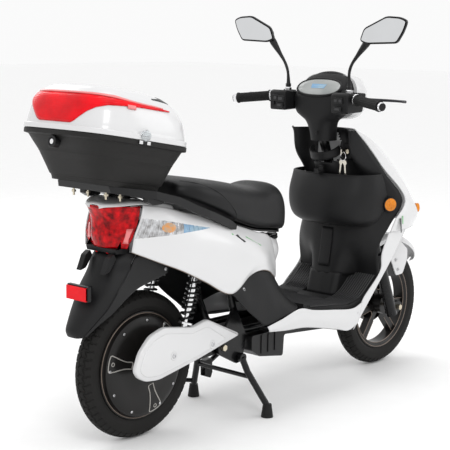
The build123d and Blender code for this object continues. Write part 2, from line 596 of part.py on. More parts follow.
COVER = [(-98, 216), (-62, 194), (-10, 188), (150, 220), (324, 258), (322, 272), (188, 333),
         (128, 320), (10, 339)]
COVER += [(-40, 322), (-100, 250)]
with BuildPart() as swingarm_cover:
    extrude(side_face(COVER, y=-99, radius=6), amount=13)
    pocket = [(-88, 220), (-56, 202), (-8, 197), (148, 229), (306, 263), (186, 324), (130, 311), (12, 330)]
    pocket += [(-34, 314), (-90, 248)]
    extrude(side_face(pocket, y=-98), amount=10, mode=Mode.SUBTRACT)
save(swingarm_cover, "swingarm_cover")

with BuildPart() as rear_axle:
    extrude(disc(at(0, -84, TYRE_R), LATERAL, 7), amount=168)
    for sign in (-1, 1):
        with BuildSketch(Plane(origin=at(0, sign * 67.5, TYRE_R), z_dir=LATERAL * sign)):
            RegularPolygon(13, 6)
        extrude(amount=11)
save(rear_axle, "rear_axle")


def wheel_plane(x):
    """Plane through a wheel's axis: local x runs along the axle, local y outwards from it."""
    return Plane(origin=at(x, 0, TYRE_R), x_dir=(0, 1, 0), z_dir=(1, 0, 0))


def wheel_axis(x):
    return Axis(at(x, 0, TYRE_R), (0, 1, 0))


def tyre_face(x):
    with BuildSketch(wheel_plane(x)) as outline:
        with BuildLine():
            Polyline((-31, 198), (-TYRE_HALF_W, 184), (-29, 168), (-22, BEAD_R + 0.3), (22, BEAD_R + 0.3))
            Polyline((22, BEAD_R + 0.3), (29, 168), (TYRE_HALF_W, 184), (31, 198))
            ThreePointArc((31, 198), (0, TYRE_R), (-31, 198))
        make_face()
    return outline.sketch


for name, x in (("rear_tyre", 0), ("front_tyre", WHEELBASE)):
    with BuildPart() as tyre:
        revolve(tyre_face(x), axis=wheel_axis(x))
    save(tyre, name)

with BuildPart() as hub_motor:
    profile = [(-18, 158), (-RIM_HALF_W, 158), (-RIM_HALF_W, 150), (-40, 146), (-46, 120),
               (-48, 60), (-53, 34)]
    profile += [(-53, 7 + RUNNING), (53, 7 + RUNNING), (53, 34), (48, 60), (46, 120), (40, 146)]
    profile += [(RIM_HALF_W, 150), (RIM_HALF_W, 158), (18, 158)]
    revolve(closed_face(wheel_plane(0), profile, 0), axis=wheel_axis(0))
    for k in range(9):
        angle = radians(47 + 40 * k)
        for sign in (-1, 1):
            head = at(134 * cos(angle), sign * 40, TYRE_R + 134 * sin(angle))
            extrude(disc(head, LATERAL * sign, 5), amount=7)
save(hub_motor, "hub_motor")

# ---------------------------------------------------------------- rear shock absorbers
with BuildPart() as shock_uppers:
    for sign in (-1, 1):
        top = at(SHOCK_TOP[0], sign * (SHOCK_Y - 9), SHOCK_TOP[1])
        extrude(disc(top, LATERAL * sign, 12), amount=18)
        extrude(disc(on_shock(SHOCK_LENGTH - 34, sign * SHOCK_Y), SHOCK_DIR, 13), amount=26)
        extrude(disc(on_shock(70, sign * SHOCK_Y), SHOCK_DIR, 10), amount=SHOCK_LENGTH - 84)
        extrude(disc(top - LATERAL * sign * 2, LATERAL * sign, 5 + RUNNING), amount=22, mode=Mode.SUBTRACT)
        extrude(disc(on_shock(60, sign * SHOCK_Y), SHOCK_DIR, 6 + RUNNING), amount=96, mode=Mode.SUBTRACT)
save(shock_uppers, "shock_uppers")

with BuildPart() as shock_rods:
    for sign in (-1, 1):
        eye = at(SHOCK_LOW[0], sign * (SHOCK_Y - 9), SHOCK_LOW[1])
        extrude(disc(eye, LATERAL * sign, 12), amount=18)
        extrude(disc(on_shock(8, sign * SHOCK_Y), SHOCK_DIR, 6), amount=112)
        extrude(disc(on_shock(10, sign * SHOCK_Y), SHOCK_DIR, 10), amount=28)
        extrude(disc(on_shock(36, sign * SHOCK_Y), SHOCK_DIR, 22), amount=4)
        extrude(disc(eye - LATERAL * sign * 2, LATERAL * sign, 6.8), amount=22, mode=Mode.SUBTRACT)
save(shock_rods, "shock_rods")

SPRING_FROM = 43.0
SPRING_TO = 176.0
with BuildPart() as shock_springs:
    for sign in (-1, 1):
        extrude(disc(on_shock(SPRING_FROM, sign * SHOCK_Y), SHOCK_DIR, 22), amount=SPRING_TO - SPRING_FROM)
        extrude(disc(on_shock(SPRING_FROM - 1, sign * SHOCK_Y), SHOCK_DIR, 15),
                amount=SPRING_TO - SPRING_FROM + 2,
                mode=Mode.SUBTRACT)
save(shock_springs, "shock_springs")

# ---------------------------------------------------------------- front fork and wheel
with BuildPart() as fork_yoke:
    extrude(disc(on_axis(352), UP_AXIS, STEERER_R), amount=430)
    extrude(disc(on_axis(352), UP_AXIS, 24), amount=50)
    with BuildSketch(Plane(origin=on_axis(370), x_dir=(0, 1, 0), z_dir=UP_AXIS)):
        with BuildLine():
            FilletPolyline((-108, -58), (-108, -12), (-30, 28), (30, 28), (108, -12), (108, -58),
                           radius=10, close=True)
        make_face()
    extrude(amount=20)
    for sign in (-1, 1):
        extrude(disc(on_axis(600, LEG_AHEAD, sign * LEG_Y), UP_AXIS, STANCHION_R), amount=252)
        extrude(disc(on_axis(372, LEG_AHEAD, sign * LEG_Y), UP_AXIS, 22), amount=26)
save(fork_yoke, "fork_yoke")

with BuildPart() as fork_lowers:
    for sign in (-1, 1):
        extrude(disc(on_axis(690, LEG_AHEAD, sign * LEG_Y), UP_AXIS, SLIDER_R), amount=250)
        extrude(disc(on_axis(470, LEG_AHEAD, sign * LEG_Y), UP_AXIS, SLIDER_R + 3), amount=30)
        lug = [(1142, 236), (1136, 190), (1176, 196), (1196, 205), (1198, 226), (1182, 236)]
        extrude(side_face(lug, y=sign * 85 + 14, radius=6), amount=28)
        stay = [(1086, 332), (1150, 325), (1200, 318), (1252, 330), (1240, 352), (1200, 350),
                (1150, 392), (1088, 366)]
        extrude(side_face(stay, y=sign * 64 + 4, radius=5), amount=8)
        extrude(disc(on_axis(650, LEG_AHEAD, sign * LEG_Y), UP_AXIS, STANCHION_R + RUNNING), amount=215,
                mode=Mode.SUBTRACT)
    extrude(disc(at(WHEELBASE, -120, TYRE_R), LATERAL, 6.3), amount=240, mode=Mode.SUBTRACT)
save(fork_lowers, "fork_lowers")

with BuildPart() as front_axle:
    extrude(disc(at(WHEELBASE, -108, TYRE_R), LATERAL, 6), amount=216)
    for sign in (-1, 1):
        with BuildSketch(Plane(origin=at(WHEELBASE, sign * 99.5, TYRE_R), z_dir=LATERAL * sign)):
            RegularPolygon(10, 6)
        extrude(amount=8)
save(front_axle, "front_axle")

FENDER_START = 32.0
FENDER_SWEEP = 100.0
with BuildPart() as front_fender:
    channel = [(-56, 226), (-54, 238), (-40, 248), (0, 253), (40, 248), (54, 238), (56, 226),
               (53, 226), (50, 236)]
    channel += [(38, 244), (0, 249), (-38, 244), (-50, 236), (-53, 226)]
    start = radians(FENDER_START)
    plane = Plane(origin=at(WHEELBASE, 0, TYRE_R), x_dir=(0, 1, 0), z_dir=(sin(start), 0, -cos(start)))
    arc = closed_face(plane, channel, 0)
    revolve(arc, axis=Axis(at(WHEELBASE, 0, TYRE_R), (0, -1, 0)), revolution_arc=FENDER_SWEEP)
    fender_plan = [(950, 44), (1000, 58), (1290, 58), (1340, 44), (1380, 22), (1400, 4)]
    extrude(plan_face(both_sides(fender_plan), z=200), amount=320, mode=Mode.INTERSECT)
save(front_fender, "front_fender")

PAIR_ANGLES = (93.0, 213.0, 333.0)
SPOKE_SPREAD = 22.0
with BuildPart() as front_wheel:
    ring = [(-18, 158), (-RIM_HALF_W, 158), (-RIM_HALF_W, 150), (-20, 140), (20, 140), (RIM_HALF_W, 150)]
    ring += [(RIM_HALF_W, 158), (18, 158)]
    revolve(closed_face(wheel_plane(WHEELBASE), ring, 0), axis=wheel_axis(WHEELBASE))
    extrude(disc(at(WHEELBASE, -42, TYRE_R), LATERAL, 34), amount=84)
    extrude(disc(at(WHEELBASE, 8, TYRE_R), LATERAL, 62), amount=34)
    for pair in PAIR_ANGLES:
        for lean in (-SPOKE_SPREAD, SPOKE_SPREAD):
            with BuildSketch(Plane(origin=at(WHEELBASE, 13, TYRE_R), x_dir=(1, 0, 0), z_dir=(0, -1, 0))):
                with PolarLocations(92, 1, start_angle=pair + lean):
                    Rectangle(120, 22)
            extrude(amount=26)
    extrude(disc(at(WHEELBASE, -60, TYRE_R), LATERAL, 6 + RUNNING), amount=120, mode=Mode.SUBTRACT)
save(front_wheel, "front_wheel")

# ---------------------------------------------------------------- handlebar and controls
BAR_CENTRE = (846.0, 936.0)


GRIP_DIR = (Vector(*GRIP_OUTER) - Vector(*GRIP_INNER)).normalized()


def on_grip(t, sign):
    """Point a distance t outwards from the inner end of a grip, along the bar."""
    point = Vector(*GRIP_INNER) + GRIP_DIR * t
    return at(point.X, sign * point.Y, point.Z)


GRIP_LENGTH = (Vector(*GRIP_OUTER) - Vector(*GRIP_INNER)).length
bar_path = [on_grip(GRIP_LENGTH + 4, -1), on_grip(-26, -1), at(BAR_CENTRE[0] - 3, -82, BAR_CENTRE[1] + 1)]
bar_path += [at(BAR_CENTRE[0], 0, BAR_CENTRE[1]), at(BAR_CENTRE[0] - 3, 82, BAR_CENTRE[1] + 1)]
bar_path += [on_grip(-26, 1), on_grip(GRIP_LENGTH + 4, 1)]
with BuildPart() as handlebar:
    add(bent_tube(bar_path, BAR_R, 30))
    foot_point = on_axis(-80)
    stem = at(BAR_CENTRE[0], 0, BAR_CENTRE[1]) - foot_point
    extrude(disc(foot_point, stem, 15), amount=stem.length)
    for sign in (-1, 1):
        outward = on_grip(10, sign) - on_grip(0, sign)
        extrude(disc(on_grip(GRIP_LENGTH + 2, sign), outward, 12.5), amount=12)
    extrude(disc(on_axis(-78.4), -UP_AXIS, 30), amount=40, mode=Mode.SUBTRACT)
save(handlebar, "handlebar")

for name, sign in (("grip_left", 1), ("throttle_grip", -1)):
    outward = on_grip(10, sign) - on_grip(0, sign)
    with BuildPart() as grip:
        extrude(disc(on_grip(0, sign), outward, 16), amount=GRIP_LENGTH)
        extrude(disc(on_grip(0, sign), outward, 20), amount=4)
        extrude(disc(on_grip(GRIP_LENGTH - 6, sign), outward, 18), amount=6)
        extrude(disc(on_grip(-2, sign), outward, BAR_R + RUNNING), amount=GRIP_LENGTH + 4,
                mode=Mode.SUBTRACT)
    save(grip, name)

COVER_BACK = [(800, 898), (836, 890), (880, 892), (880, 1030), (868, 1034), (846, 1020),
              (830, 1016), (826, 954)]
COVER_BACK += [(800, 946)]
with BuildPart() as handlebar_cover_rear:
    extrude(side_face(COVER_BACK, y=90, radius=3), amount=180)
    extrude(disc(on_axis(0), UP_AXIS, 44), amount=100)
    cavity = [(804, 902), (836, 894), (890, 896), (890, 1020), (850, 1015), (834, 1008), (830, 950),
              (804, 942)]
    extrude(side_face(cavity, y=86), amount=172, mode=Mode.SUBTRACT)
    extrude(disc(on_axis(1), UP_AXIS, 40), amount=106, mode=Mode.SUBTRACT)
    for end in (-100, 84):
        extrude(disc(at(838, end, 940), LATERAL, 18), amount=16, mode=Mode.SUBTRACT)
    dash = [(-84, 959), (84, 959), (84, 1011), (-84, 1011)]
    extrude(front_face(dash, x=820), amount=12.2, mode=Mode.SUBTRACT)
    front_cut = [(881, 840), (960, 840), (960, 1060), (881, 1060)]
    extrude(side_face(front_cut, y=120), amount=240, mode=Mode.SUBTRACT)
save(handlebar_cover_rear, "handlebar_cover_rear")

with BuildPart() as display:
    extrude(front_face([(-83, 960), (83, 960), (83, 1010), (-83, 1010)], x=824, radius=10), amount=5)
save(display, "display")

with BuildPart() as handlebar_cover_front:
    nose = [(882, 884), (930, 880), (972, 900), (992, 950), (978, 1000), (930, 1032), (882, 1036)]
    extrude(side_face(nose, y=116), amount=232)
    nose_plan = [(882, 116), (925, 112), (962, 92), (984, 60), (994, 0)]
    extrude(plan_face(both_sides(nose_plan)[:-1] + [(882, -116)], z=860), amount=200, mode=Mode.INTERSECT)
    with BuildPart(mode=Mode.PRIVATE) as hollow:
        room = [(878, 888), (930, 884), (969, 903), (988, 950), (974, 998), (928, 1028), (878, 1032)]
        extrude(side_face(room, y=112), amount=224)
        room_plan = [(878, 112), (923, 108), (959, 89), (980, 58), (990, 0)]
        extrude(plan_face(both_sides(room_plan)[:-1] + [(878, -112)], z=860), amount=200,
                mode=Mode.INTERSECT)
    add(hollow.part, mode=Mode.SUBTRACT)
    window = [(-72, 914), (72, 914), (84, 950), (66, 990), (-66, 990), (-84, 950)]
    extrude(front_face(window, x=940), amount=80, mode=Mode.SUBTRACT)
save(handlebar_cover_front, "handlebar_cover_front")

with BuildPart() as headlamp_lens:
    pane = [(-71, 915), (71, 915), (83, 950), (65, 989), (-65, 989), (-83, 950)]
    extrude(front_face(pane, x=940), amount=80)
    lens_plan = [(990, 0), (976, 64), (950, 98)]
    extrude(plan_face(wrap_band(lens_plan, 4.0), z=860), amount=200, mode=Mode.INTERSECT)
save(headlamp_lens, "headlamp_lens")

with BuildPart() as switch_pods:
    for sign in (-1, 1):
        body = [(766, 918), (772, 911), (850, 914), (856, 952), (838, 972), (772, 976), (766, 970)]
        extrude(side_face(body, y=sign * 127 + 33, radius=5), amount=66)
        perch = [(832, 936), (862, 940), (866, 972), (832, 972)]
        extrude(side_face(perch, y=sign * 142 + 14, radius=5), amount=28)
        extrude(disc(at(MIRROR_BASE[0], sign * MIRROR_BASE[1], 970), Vector(0, 0, 1), 10), amount=16)
        add(bent_tube(bar_path, BAR_R + 0.1, 30), mode=Mode.SUBTRACT)
        extrude(disc(at(MIRROR_BASE[0], sign * MIRROR_BASE[1], 972), Vector(0, 0, 1), 5 + RUNNING),
                amount=20,
                mode=Mode.SUBTRACT)
        gap = [(840, 948), (880, 948), (880, 964), (840, 964)]
        extrude(side_face(gap, y=sign * 142 + 20), amount=40, mode=Mode.SUBTRACT)
        extrude(disc(at(853, sign * 144, 938), Vector(0, 0, 1), 3), amount=34)
    extrude(disc(at(760, 146, 934), Vector(1, 0, 0), 7.4), amount=14, mode=Mode.SUBTRACT)
    slot = [(110, 944), (132, 944), (132, 956), (110, 956)]
    extrude(front_face(slot, x=760), amount=14, mode=Mode.SUBTRACT)
save(switch_pods, "switch_pods")

with BuildPart() as horn_button:
    extrude(disc(at(762, 146, 934), Vector(1, 0, 0), 7), amount=9)
save(horn_button, "horn_button")

with BuildPart() as turn_switch:
    extrude(front_face([(116, 945), (126, 945), (126, 955), (116, 955)], x=760), amount=12)
save(turn_switch, "turn_switch")

for side, sign in (("left", 1), ("right", -1)):
    with BuildPart() as lever:
        with BuildSketch(Plane(origin=at(0, 0, 950))):
            with BuildLine():
                root = [(846, sign * 137), (861, sign * 137), (872, sign * 190), (880, sign * 250),
                        (856, sign * 326)]
                tip = [(844, sign * 324), (864, sign * 250), (856, sign * 192), (846, sign * 154)]
                FilletPolyline(*(root + tip), radius=4, close=True)
            make_face()
        extrude(amount=12)
        extrude(disc(at(853, sign * 144, 940), Vector(0, 0, 1), 3 + RUNNING), amount=30, mode=Mode.SUBTRACT)
    save(lever, f"brake_lever_{side}")

for side, sign in (("left", 1), ("right", -1)):
    with BuildPart() as mirror_piece:
        base = at(MIRROR_BASE[0], sign * MIRROR_BASE[1], 974)
        extrude(disc(base, Vector(0, 0, 1), 5), amount=28)
        extrude(disc(at(MIRROR_BASE[0], sign * MIRROR_BASE[1], 987), Vector(0, 0, 1), 9), amount=12)
        arm = [at(820, sign * 127, 998), at(816, sign * 128, 1052), at(814, sign * 166, 1102),
               at(816, sign * 214, 1150)]
        add(bent_tube(arm, 5, 18))
        head = [(sign * 172, 1140), (sign * 206, 1131), (sign * 320, 1136), (sign * 345, 1170),
                (sign * 358, 1206)]
        head += [(sign * 330, 1218), (sign * 278, 1221), (sign * 190, 1183)]
        extrude(front_face(head, x=800, radius=8), amount=24)
    save(mirror_piece, f"mirror_{side}")
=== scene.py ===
import math

import bmesh
import bpy
import numpy as np
from mathutils import Matrix, Vector


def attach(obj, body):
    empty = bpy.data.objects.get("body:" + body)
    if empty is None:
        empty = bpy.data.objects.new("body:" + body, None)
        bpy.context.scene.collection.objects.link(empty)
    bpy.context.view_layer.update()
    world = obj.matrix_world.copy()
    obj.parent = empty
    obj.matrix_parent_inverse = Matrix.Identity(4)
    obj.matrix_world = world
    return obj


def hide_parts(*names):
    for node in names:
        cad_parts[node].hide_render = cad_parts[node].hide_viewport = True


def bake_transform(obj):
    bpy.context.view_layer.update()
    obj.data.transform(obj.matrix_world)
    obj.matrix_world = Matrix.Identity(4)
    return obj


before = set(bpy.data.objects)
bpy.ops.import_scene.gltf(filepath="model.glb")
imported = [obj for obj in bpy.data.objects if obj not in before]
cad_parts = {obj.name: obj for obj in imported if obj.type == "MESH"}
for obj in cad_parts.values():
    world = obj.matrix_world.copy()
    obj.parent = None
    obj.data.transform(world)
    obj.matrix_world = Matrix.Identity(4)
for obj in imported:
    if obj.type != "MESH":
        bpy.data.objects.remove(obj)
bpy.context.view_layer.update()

MM = 0.001
REAR = -545.0  # the rear axle in the shared frame; design rows count from it
FRONT_X = 1178  # the front axle's design row
AXLE_Z = 215  # the height of both axles
UP = np.array([0, 0, 1.0])
RAKE = math.radians(23.0)
TILT = math.radians(9.8)


# ------------------------------------------------------ geometry helpers (millimetres in, metres out)
def P(x, y, z):
    """A design point, in metres in the shared frame."""
    return ((REAR + x) * MM, y * MM, z * MM)


def squarish(c, power):
    """A cosine or sine bent towards a rounded square."""
    return math.copysign(abs(c) ** power, c)


def turn(n):
    """n angles evenly spread over a full turn."""
    return np.linspace(0, 2 * math.pi, n + 1)[:-1]


def catmull(points, n):
    """n points evenly spread along a smooth line through the given ones."""
    pts = np.array(points, float)
    gaps = np.sqrt(np.maximum(np.linalg.norm(np.diff(pts, axis=0), axis=1), 1e-6))
    t = np.concatenate([[0], np.cumsum(gaps)])
    ends = np.vstack([2 * pts[0] - pts[1], pts, 2 * pts[-1] - pts[-2]])
    te = np.concatenate([[-gaps[0]], t, [t[-1] + gaps[-1]]])
    out = []
    for s in np.linspace(0, t[-1], n):
        i = int(np.clip(np.searchsorted(t, s, side="right") - 1, 0, len(pts) - 2)) + 1
        p0, p1, p2, p3 = ends[i - 1: i + 3]
        t0, t1, t2, t3 = te[i - 1: i + 3]
        a1 = (t1 - s) / (t1 - t0) * p0 + (s - t0) / (t1 - t0) * p1
        a2 = (t2 - s) / (t2 - t1) * p1 + (s - t1) / (t2 - t1) * p2
        a3 = (t3 - s) / (t3 - t2) * p2 + (s - t2) / (t3 - t2) * p3
        b1 = (t2 - s) / (t2 - t0) * a1 + (s - t0) / (t2 - t0) * a2
        b2 = (t3 - s) / (t3 - t1) * a2 + (s - t1) / (t3 - t1) * a3
        out.append((t2 - s) / (t2 - t1) * b1 + (s - t1) / (t2 - t1) * b2)
    return np.array(out)


def grid_points(rows, nu, nv):
    """Dense smooth grid through rows of control points."""
    lines = np.array([catmull(r, nv) for r in rows])
    return np.array([catmull(lines[:, j], nu) for j in range(nv)]).transpose(1, 0, 2)


def new_mesh(name, verts, faces, mat, body, smooth=40):
    mesh = bpy.data.meshes.new(name)
    mesh.from_pydata([P(*v) for v in verts], [], faces)
    mesh.validate()
    mesh.update()
    if smooth:
        mesh.shade_smooth()
        mesh.set_sharp_from_angle(angle=math.radians(smooth))
    obj = bpy.data.objects.new(name, mesh)
    bpy.context.scene.collection.objects.link(obj)
    obj.data.materials.append(mat)
    if body:
        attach(obj, body)
    return obj


def grid_faces(nu, nv, closed=False, flip=False):
    faces = []
    for i in range(nu - 1):
        for j in range(nv if closed else nv - 1):
            k = (j + 1) % nv
            f = (i * nv + j, i * nv + k, (i + 1) * nv + k, (i + 1) * nv + j)
            faces.append(f[::-1] if flip else f)
    return faces


def thicken(obj, thickness, offset=-1.0):
    m = obj.modifiers.new("thickness", "SOLIDIFY")
    m.thickness = thickness * MM
    m.offset = offset
    return obj


def round_edges(obj, width, segments=3, angle=30):
    m = obj.modifiers.new("edges", "BEVEL")
    m.width = width * MM
    m.segments = segments
    m.limit_method = "ANGLE"
    m.angle_limit = math.radians(angle)
    m.harden_normals = False
    return obj


def panel(name, rows, mat, body, nu=24, nv=60, thick=3.0, flip=False):
    """A curved moulded panel through rows of control points."""
    pts = grid_points(rows, nu, nv).reshape(-1, 3)
    obj = new_mesh(name, pts, grid_faces(nu, nv, flip=flip), mat, body)
    return thicken(obj, thick)


def rings(name, loops, mat, body, cap=True, smooth=40):
    """A closed form through loops of equal length."""
    n = len(loops[0])
    verts = [tuple(p) for loop in loops for p in loop]
    faces = grid_faces(len(loops), n, closed=True)
    if cap:
        faces.append(tuple(range(n))[::-1])
        faces.append(tuple(range((len(loops) - 1) * n, len(loops) * n)))
    return new_mesh(name, verts, faces, mat, body, smooth)


def frames_along(pts):
    tangents = np.gradient(pts, axis=0)
    tangents /= np.linalg.norm(tangents, axis=1)[:, None]
    up = np.array([0.0, 0.0, 1.0])
    if abs(tangents[0] @ up) > 0.9:
        up = np.array([0.0, 1.0, 0.0])
    normals = []
    n = up - (up @ tangents[0]) * tangents[0]
    for t in tangents:
        n = n - (n @ t) * t
        n /= np.linalg.norm(n)
        normals.append(n.copy())
    return tangents, np.array(normals)


def tube(name, points, radius, mat, body, n=None, sides=10, smooth_line=True, closed=False):
    """A round tube; radius may be one number or one for each control point."""
    pts = np.array(points, float)
    n = n or max(8, 6 * len(pts))
    if smooth_line:
        line = catmull(np.vstack([pts, pts[:1]]) if closed else pts, n)
    else:
        line = pts
    if closed:
        line = line[:-1]
    radii = np.full(len(line), float(radius)) if np.isscalar(radius) else np.interp(
        np.linspace(0, 1, len(line)), np.linspace(0, 1, len(radius)), radius)
    tangents, normals = frames_along(line)
    loops = []
    for p, t, nrm, r in zip(line, tangents, normals, radii):
        b = np.cross(t, nrm)
        a = np.linspace(0, 2 * math.pi, sides, endpoint=False)
        loops.append(p + r * (np.cos(a)[:, None] * nrm + np.sin(a)[:, None] * b))
    verts = np.array(loops).reshape(-1, 3)
    faces = grid_faces(len(loops), sides, closed=True)
    if closed:
        last = (len(loops) - 1) * sides
        faces += [(last + j, last + (j + 1) % sides, (j + 1) % sides, j) for j in range(sides)]
    else:
        faces.append(tuple(range(sides))[::-1])
        faces.append(tuple(range(len(verts) - sides, len(verts))))
    return new_mesh(name, verts, faces, mat, body)


def join(name, objs):
    """One object from several with the same body."""
    bpy.ops.object.select_all(action="DESELECT")
    for o in objs:
        o.select_set(True)
    bpy.context.view_layer.objects.active = objs[0]
    bpy.ops.object.join()
    objs[0].name = name
    objs[0].data.name = name
    return objs[0]


def lathe(name, profile, x, mat, body, steps=96, smooth=35):
    """Turns (across, radius) points about a wheel's axle."""
    angles = np.linspace(0, 2 * math.pi, steps, endpoint=False)
    loops = []
    for a in angles:
        loops.append([(x + r * math.cos(a), y, AXLE_Z + r * math.sin(a)) for y, r in profile])
    n = len(profile)
    verts = [p for loop in loops for p in loop]
    faces = []
    for i in range(steps):
        k = (i + 1) % steps
        for j in range(n - 1):
            faces.append((i * n + j, i * n + j + 1, k * n + j + 1, k * n + j))
    return new_mesh(name, verts, faces, mat, body, smooth)


def bolt(name, centre, direction, radius, height, mat, body, socket=True):
    """A domed bolt head with a round socket recess, standing on a surface."""
    d = Vector(direction).normalized()
    u = d.orthogonal().normalized()
    v = d.cross(u)
    c = Vector(centre)
    prof = [(1.0, 0.0), (1.0, 0.55), (0.86, 0.85), (0.6, 1.0)]
    if socket:
        prof += [(0.5, 1.0), (0.48, 0.45), (0.05, 0.45)]
    else:
        prof += [(0.3, 1.06), (0.04, 1.08)]
    loops = []
    for r, h in prof:
        loop = []
        for k in range(18):
            a = 2 * math.pi * k / 18
            loop.append(tuple(c + (u * math.cos(a) + v * math.sin(a)) * r * radius + d * h * height))
        loops.append(loop)
    return rings(name, loops, mat, body, cap=True)


def plate(name, outline, normal, thick, mat, body, bevel=0.0):
    """A flat plate from an outline in 3-D, thickened along a direction."""
    pts = [Vector(p) for p in outline]
    d = Vector(normal).normalized() * thick
    n = len(pts)
    verts = [tuple(p) for p in pts] + [tuple(p + d) for p in pts]
    faces = [tuple(range(n))[::-1], tuple(range(n, 2 * n))]
    faces += [(i, (i + 1) % n, n + (i + 1) % n, n + i) for i in range(n)]
    obj = new_mesh(name, verts, faces, mat, body, 30)
    mesh = obj.data
    bm = bmesh.new()
    bm.from_mesh(mesh)
    bmesh.ops.recalc_face_normals(bm, faces=bm.faces)
    bm.to_mesh(mesh)
    bm.free()
    if bevel:
        round_edges(obj, bevel)
    return obj


# ------------------------------------------------------------------ materials
def material(name, colour, rough=0.4, metal=0.0, bump=0.0, scale=500.0, kind="noise", var=0.08, coat=0.0,
             transmission=0.0, stretch=(1, 1, 1), rough_var=0.06, spec=0.5, second=None,
             second_scale=12.0, emit=0.0):
    mat = bpy.data.materials.new(name)
    mat.use_nodes = True
    nt = mat.node_tree
    bsdf = next(n for n in nt.nodes if n.type == "BSDF_PRINCIPLED")
    coords = nt.nodes.new("ShaderNodeTexCoord")
    mapping = nt.nodes.new("ShaderNodeMapping")
    mapping.inputs["Scale"].default_value = stretch
    nt.links.new(coords.outputs["Object"], mapping.inputs["Vector"])
    broad = nt.nodes.new("ShaderNodeTexNoise")
    broad.inputs["Scale"].default_value = second_scale
    broad.inputs["Detail"].default_value = 5.0
    nt.links.new(coords.outputs["Object"], broad.inputs["Vector"])
    ramp = nt.nodes.new("ShaderNodeValToRGB")
    ramp.color_ramp.elements[0].position = 0.3
    ramp.color_ramp.elements[1].position = 0.7
    low = second or tuple(c * (1 - var) for c in colour)
    high = tuple(min(1.0, c * (1 + var)) for c in colour)
    ramp.color_ramp.elements[0].color = (*low, 1)
    ramp.color_ramp.elements[1].color = (*high, 1)
    nt.links.new(broad.outputs["Fac"], ramp.inputs["Fac"])
    nt.links.new(ramp.outputs["Color"], bsdf.inputs["Base Color"])
    rr = nt.nodes.new("ShaderNodeMapRange")
    rr.inputs["To Min"].default_value = max(0.02, rough - rough_var)
    rr.inputs["To Max"].default_value = min(1.0, rough + rough_var)
    nt.links.new(broad.outputs["Fac"], rr.inputs["Value"])
    nt.links.new(rr.outputs["Result"], bsdf.inputs["Roughness"])
    bsdf.inputs["Metallic"].default_value = metal
    bsdf.inputs["Specular IOR Level"].default_value = spec
    bsdf.inputs["Coat Weight"].default_value = coat
    bsdf.inputs["Coat Roughness"].default_value = 0.06
    bsdf.inputs["Transmission Weight"].default_value = transmission
    if emit:
        bsdf.inputs["Emission Color"].default_value = (*colour, 1)
        bsdf.inputs["Emission Strength"].default_value = emit
    if bump:
        if kind == "noise":
            tex = nt.nodes.new("ShaderNodeTexNoise")
            tex.inputs["Scale"].default_value = scale
            tex.inputs["Detail"].default_value = 3.0
            height = tex.outputs["Fac"]
        elif kind == "voronoi":
            tex = nt.nodes.new("ShaderNodeTexVoronoi")
            tex.inputs["Scale"].default_value = scale
            height = tex.outputs["Distance"]
        else:
            tex = nt.nodes.new("ShaderNodeTexWave")
            tex.wave_type = "BANDS"
            tex.bands_direction = kind[-1].upper()
            tex.inputs["Scale"].default_value = scale
            tex.inputs["Distortion"].default_value = 0.0
            height = tex.outputs["Fac"]
        nt.links.new(mapping.outputs["Vector"], tex.inputs["Vector"])
        b = nt.nodes.new("ShaderNodeBump")
        b.inputs["Strength"].default_value = bump
        b.inputs["Distance"].default_value = 0.001
        nt.links.new(height, b.inputs["Height"])
        nt.links.new(b.outputs["Normal"], bsdf.inputs["Normal"])
    return mat


WHITE = material("white_gloss", (0.64, 0.64, 0.645), 0.24, coat=0.35, bump=0.02, scale=60, var=0.015,
                 second_scale=4)
BLACK = material("black_textured", (0.0075, 0.0075, 0.008), 0.5, bump=0.22, scale=900, var=0.15, spec=0.22)
BLACK_BOX = material("black_grained", (0.013, 0.0125, 0.012), 0.56, bump=0.4, scale=1100,
                     kind="voronoi", var=0.15,
                     spec=0.22)
SATIN = material("black_satin", (0.006, 0.006, 0.0065), 0.34, bump=0.05, scale=300, var=0.1, spec=0.3)
PAINT = material("black_enamel", (0.004, 0.004, 0.0045), 0.26, bump=0.05, scale=120, var=0.1, spec=0.3)
WHEEL = material("wheel_enamel", (0.007, 0.0063, 0.006), 0.3, bump=0.06, scale=200, var=0.12, spec=0.3)
BRONZE = material("bronze_line", (0.20, 0.155, 0.125), 0.35, metal=0.3, bump=0.03, scale=400, var=0.08)
VINYL = material("seat_grain", (0.0085, 0.0085, 0.009), 0.46, bump=0.35, scale=750, kind="voronoi",
                 var=0.12, spec=0.25)
VINYL_SMOOTH = material("seat_side", (0.004, 0.004, 0.0045), 0.4, bump=0.2, scale=900, kind="voronoi",
                        var=0.12,
                        spec=0.25)
RUBBER = material("tyre_rubber", (0.009, 0.0085, 0.008), 0.66, bump=0.25, scale=500, var=0.2, spec=0.2)
SOFT = material("soft_rubber", (0.008, 0.008, 0.008), 0.55, bump=0.2, scale=700, var=0.15, spec=0.22)
CHROME = material("chrome", (0.82, 0.82, 0.83), 0.12, metal=1.0, bump=0.03, scale=300, var=0.04)
ZINC = material("zinc_bolt", (0.62, 0.56, 0.44), 0.33, metal=1.0, bump=0.08, scale=700, var=0.12)
STEEL = material("steel", (0.55, 0.55, 0.56), 0.3, metal=1.0, bump=0.08, scale=900, var=0.08)
ALLOY = material("lever_alloy", (0.035, 0.035, 0.04), 0.32, metal=0.7, bump=0.05, scale=600, var=0.1)
RED = material("red_lens", (0.70, 0.002, 0.008), 0.2, bump=0.3, scale=70, kind="wave_z", var=0.25,
               coat=0.08,
               spec=0.15)
RED_DEEP = material("red_lens_deep", (0.44, 0.001, 0.004), 0.16, bump=0.9, scale=90, kind="voronoi",
                    var=0.5,
                    coat=0.06, spec=0.15, second=(0.09, 0.0, 0.001), second_scale=60)
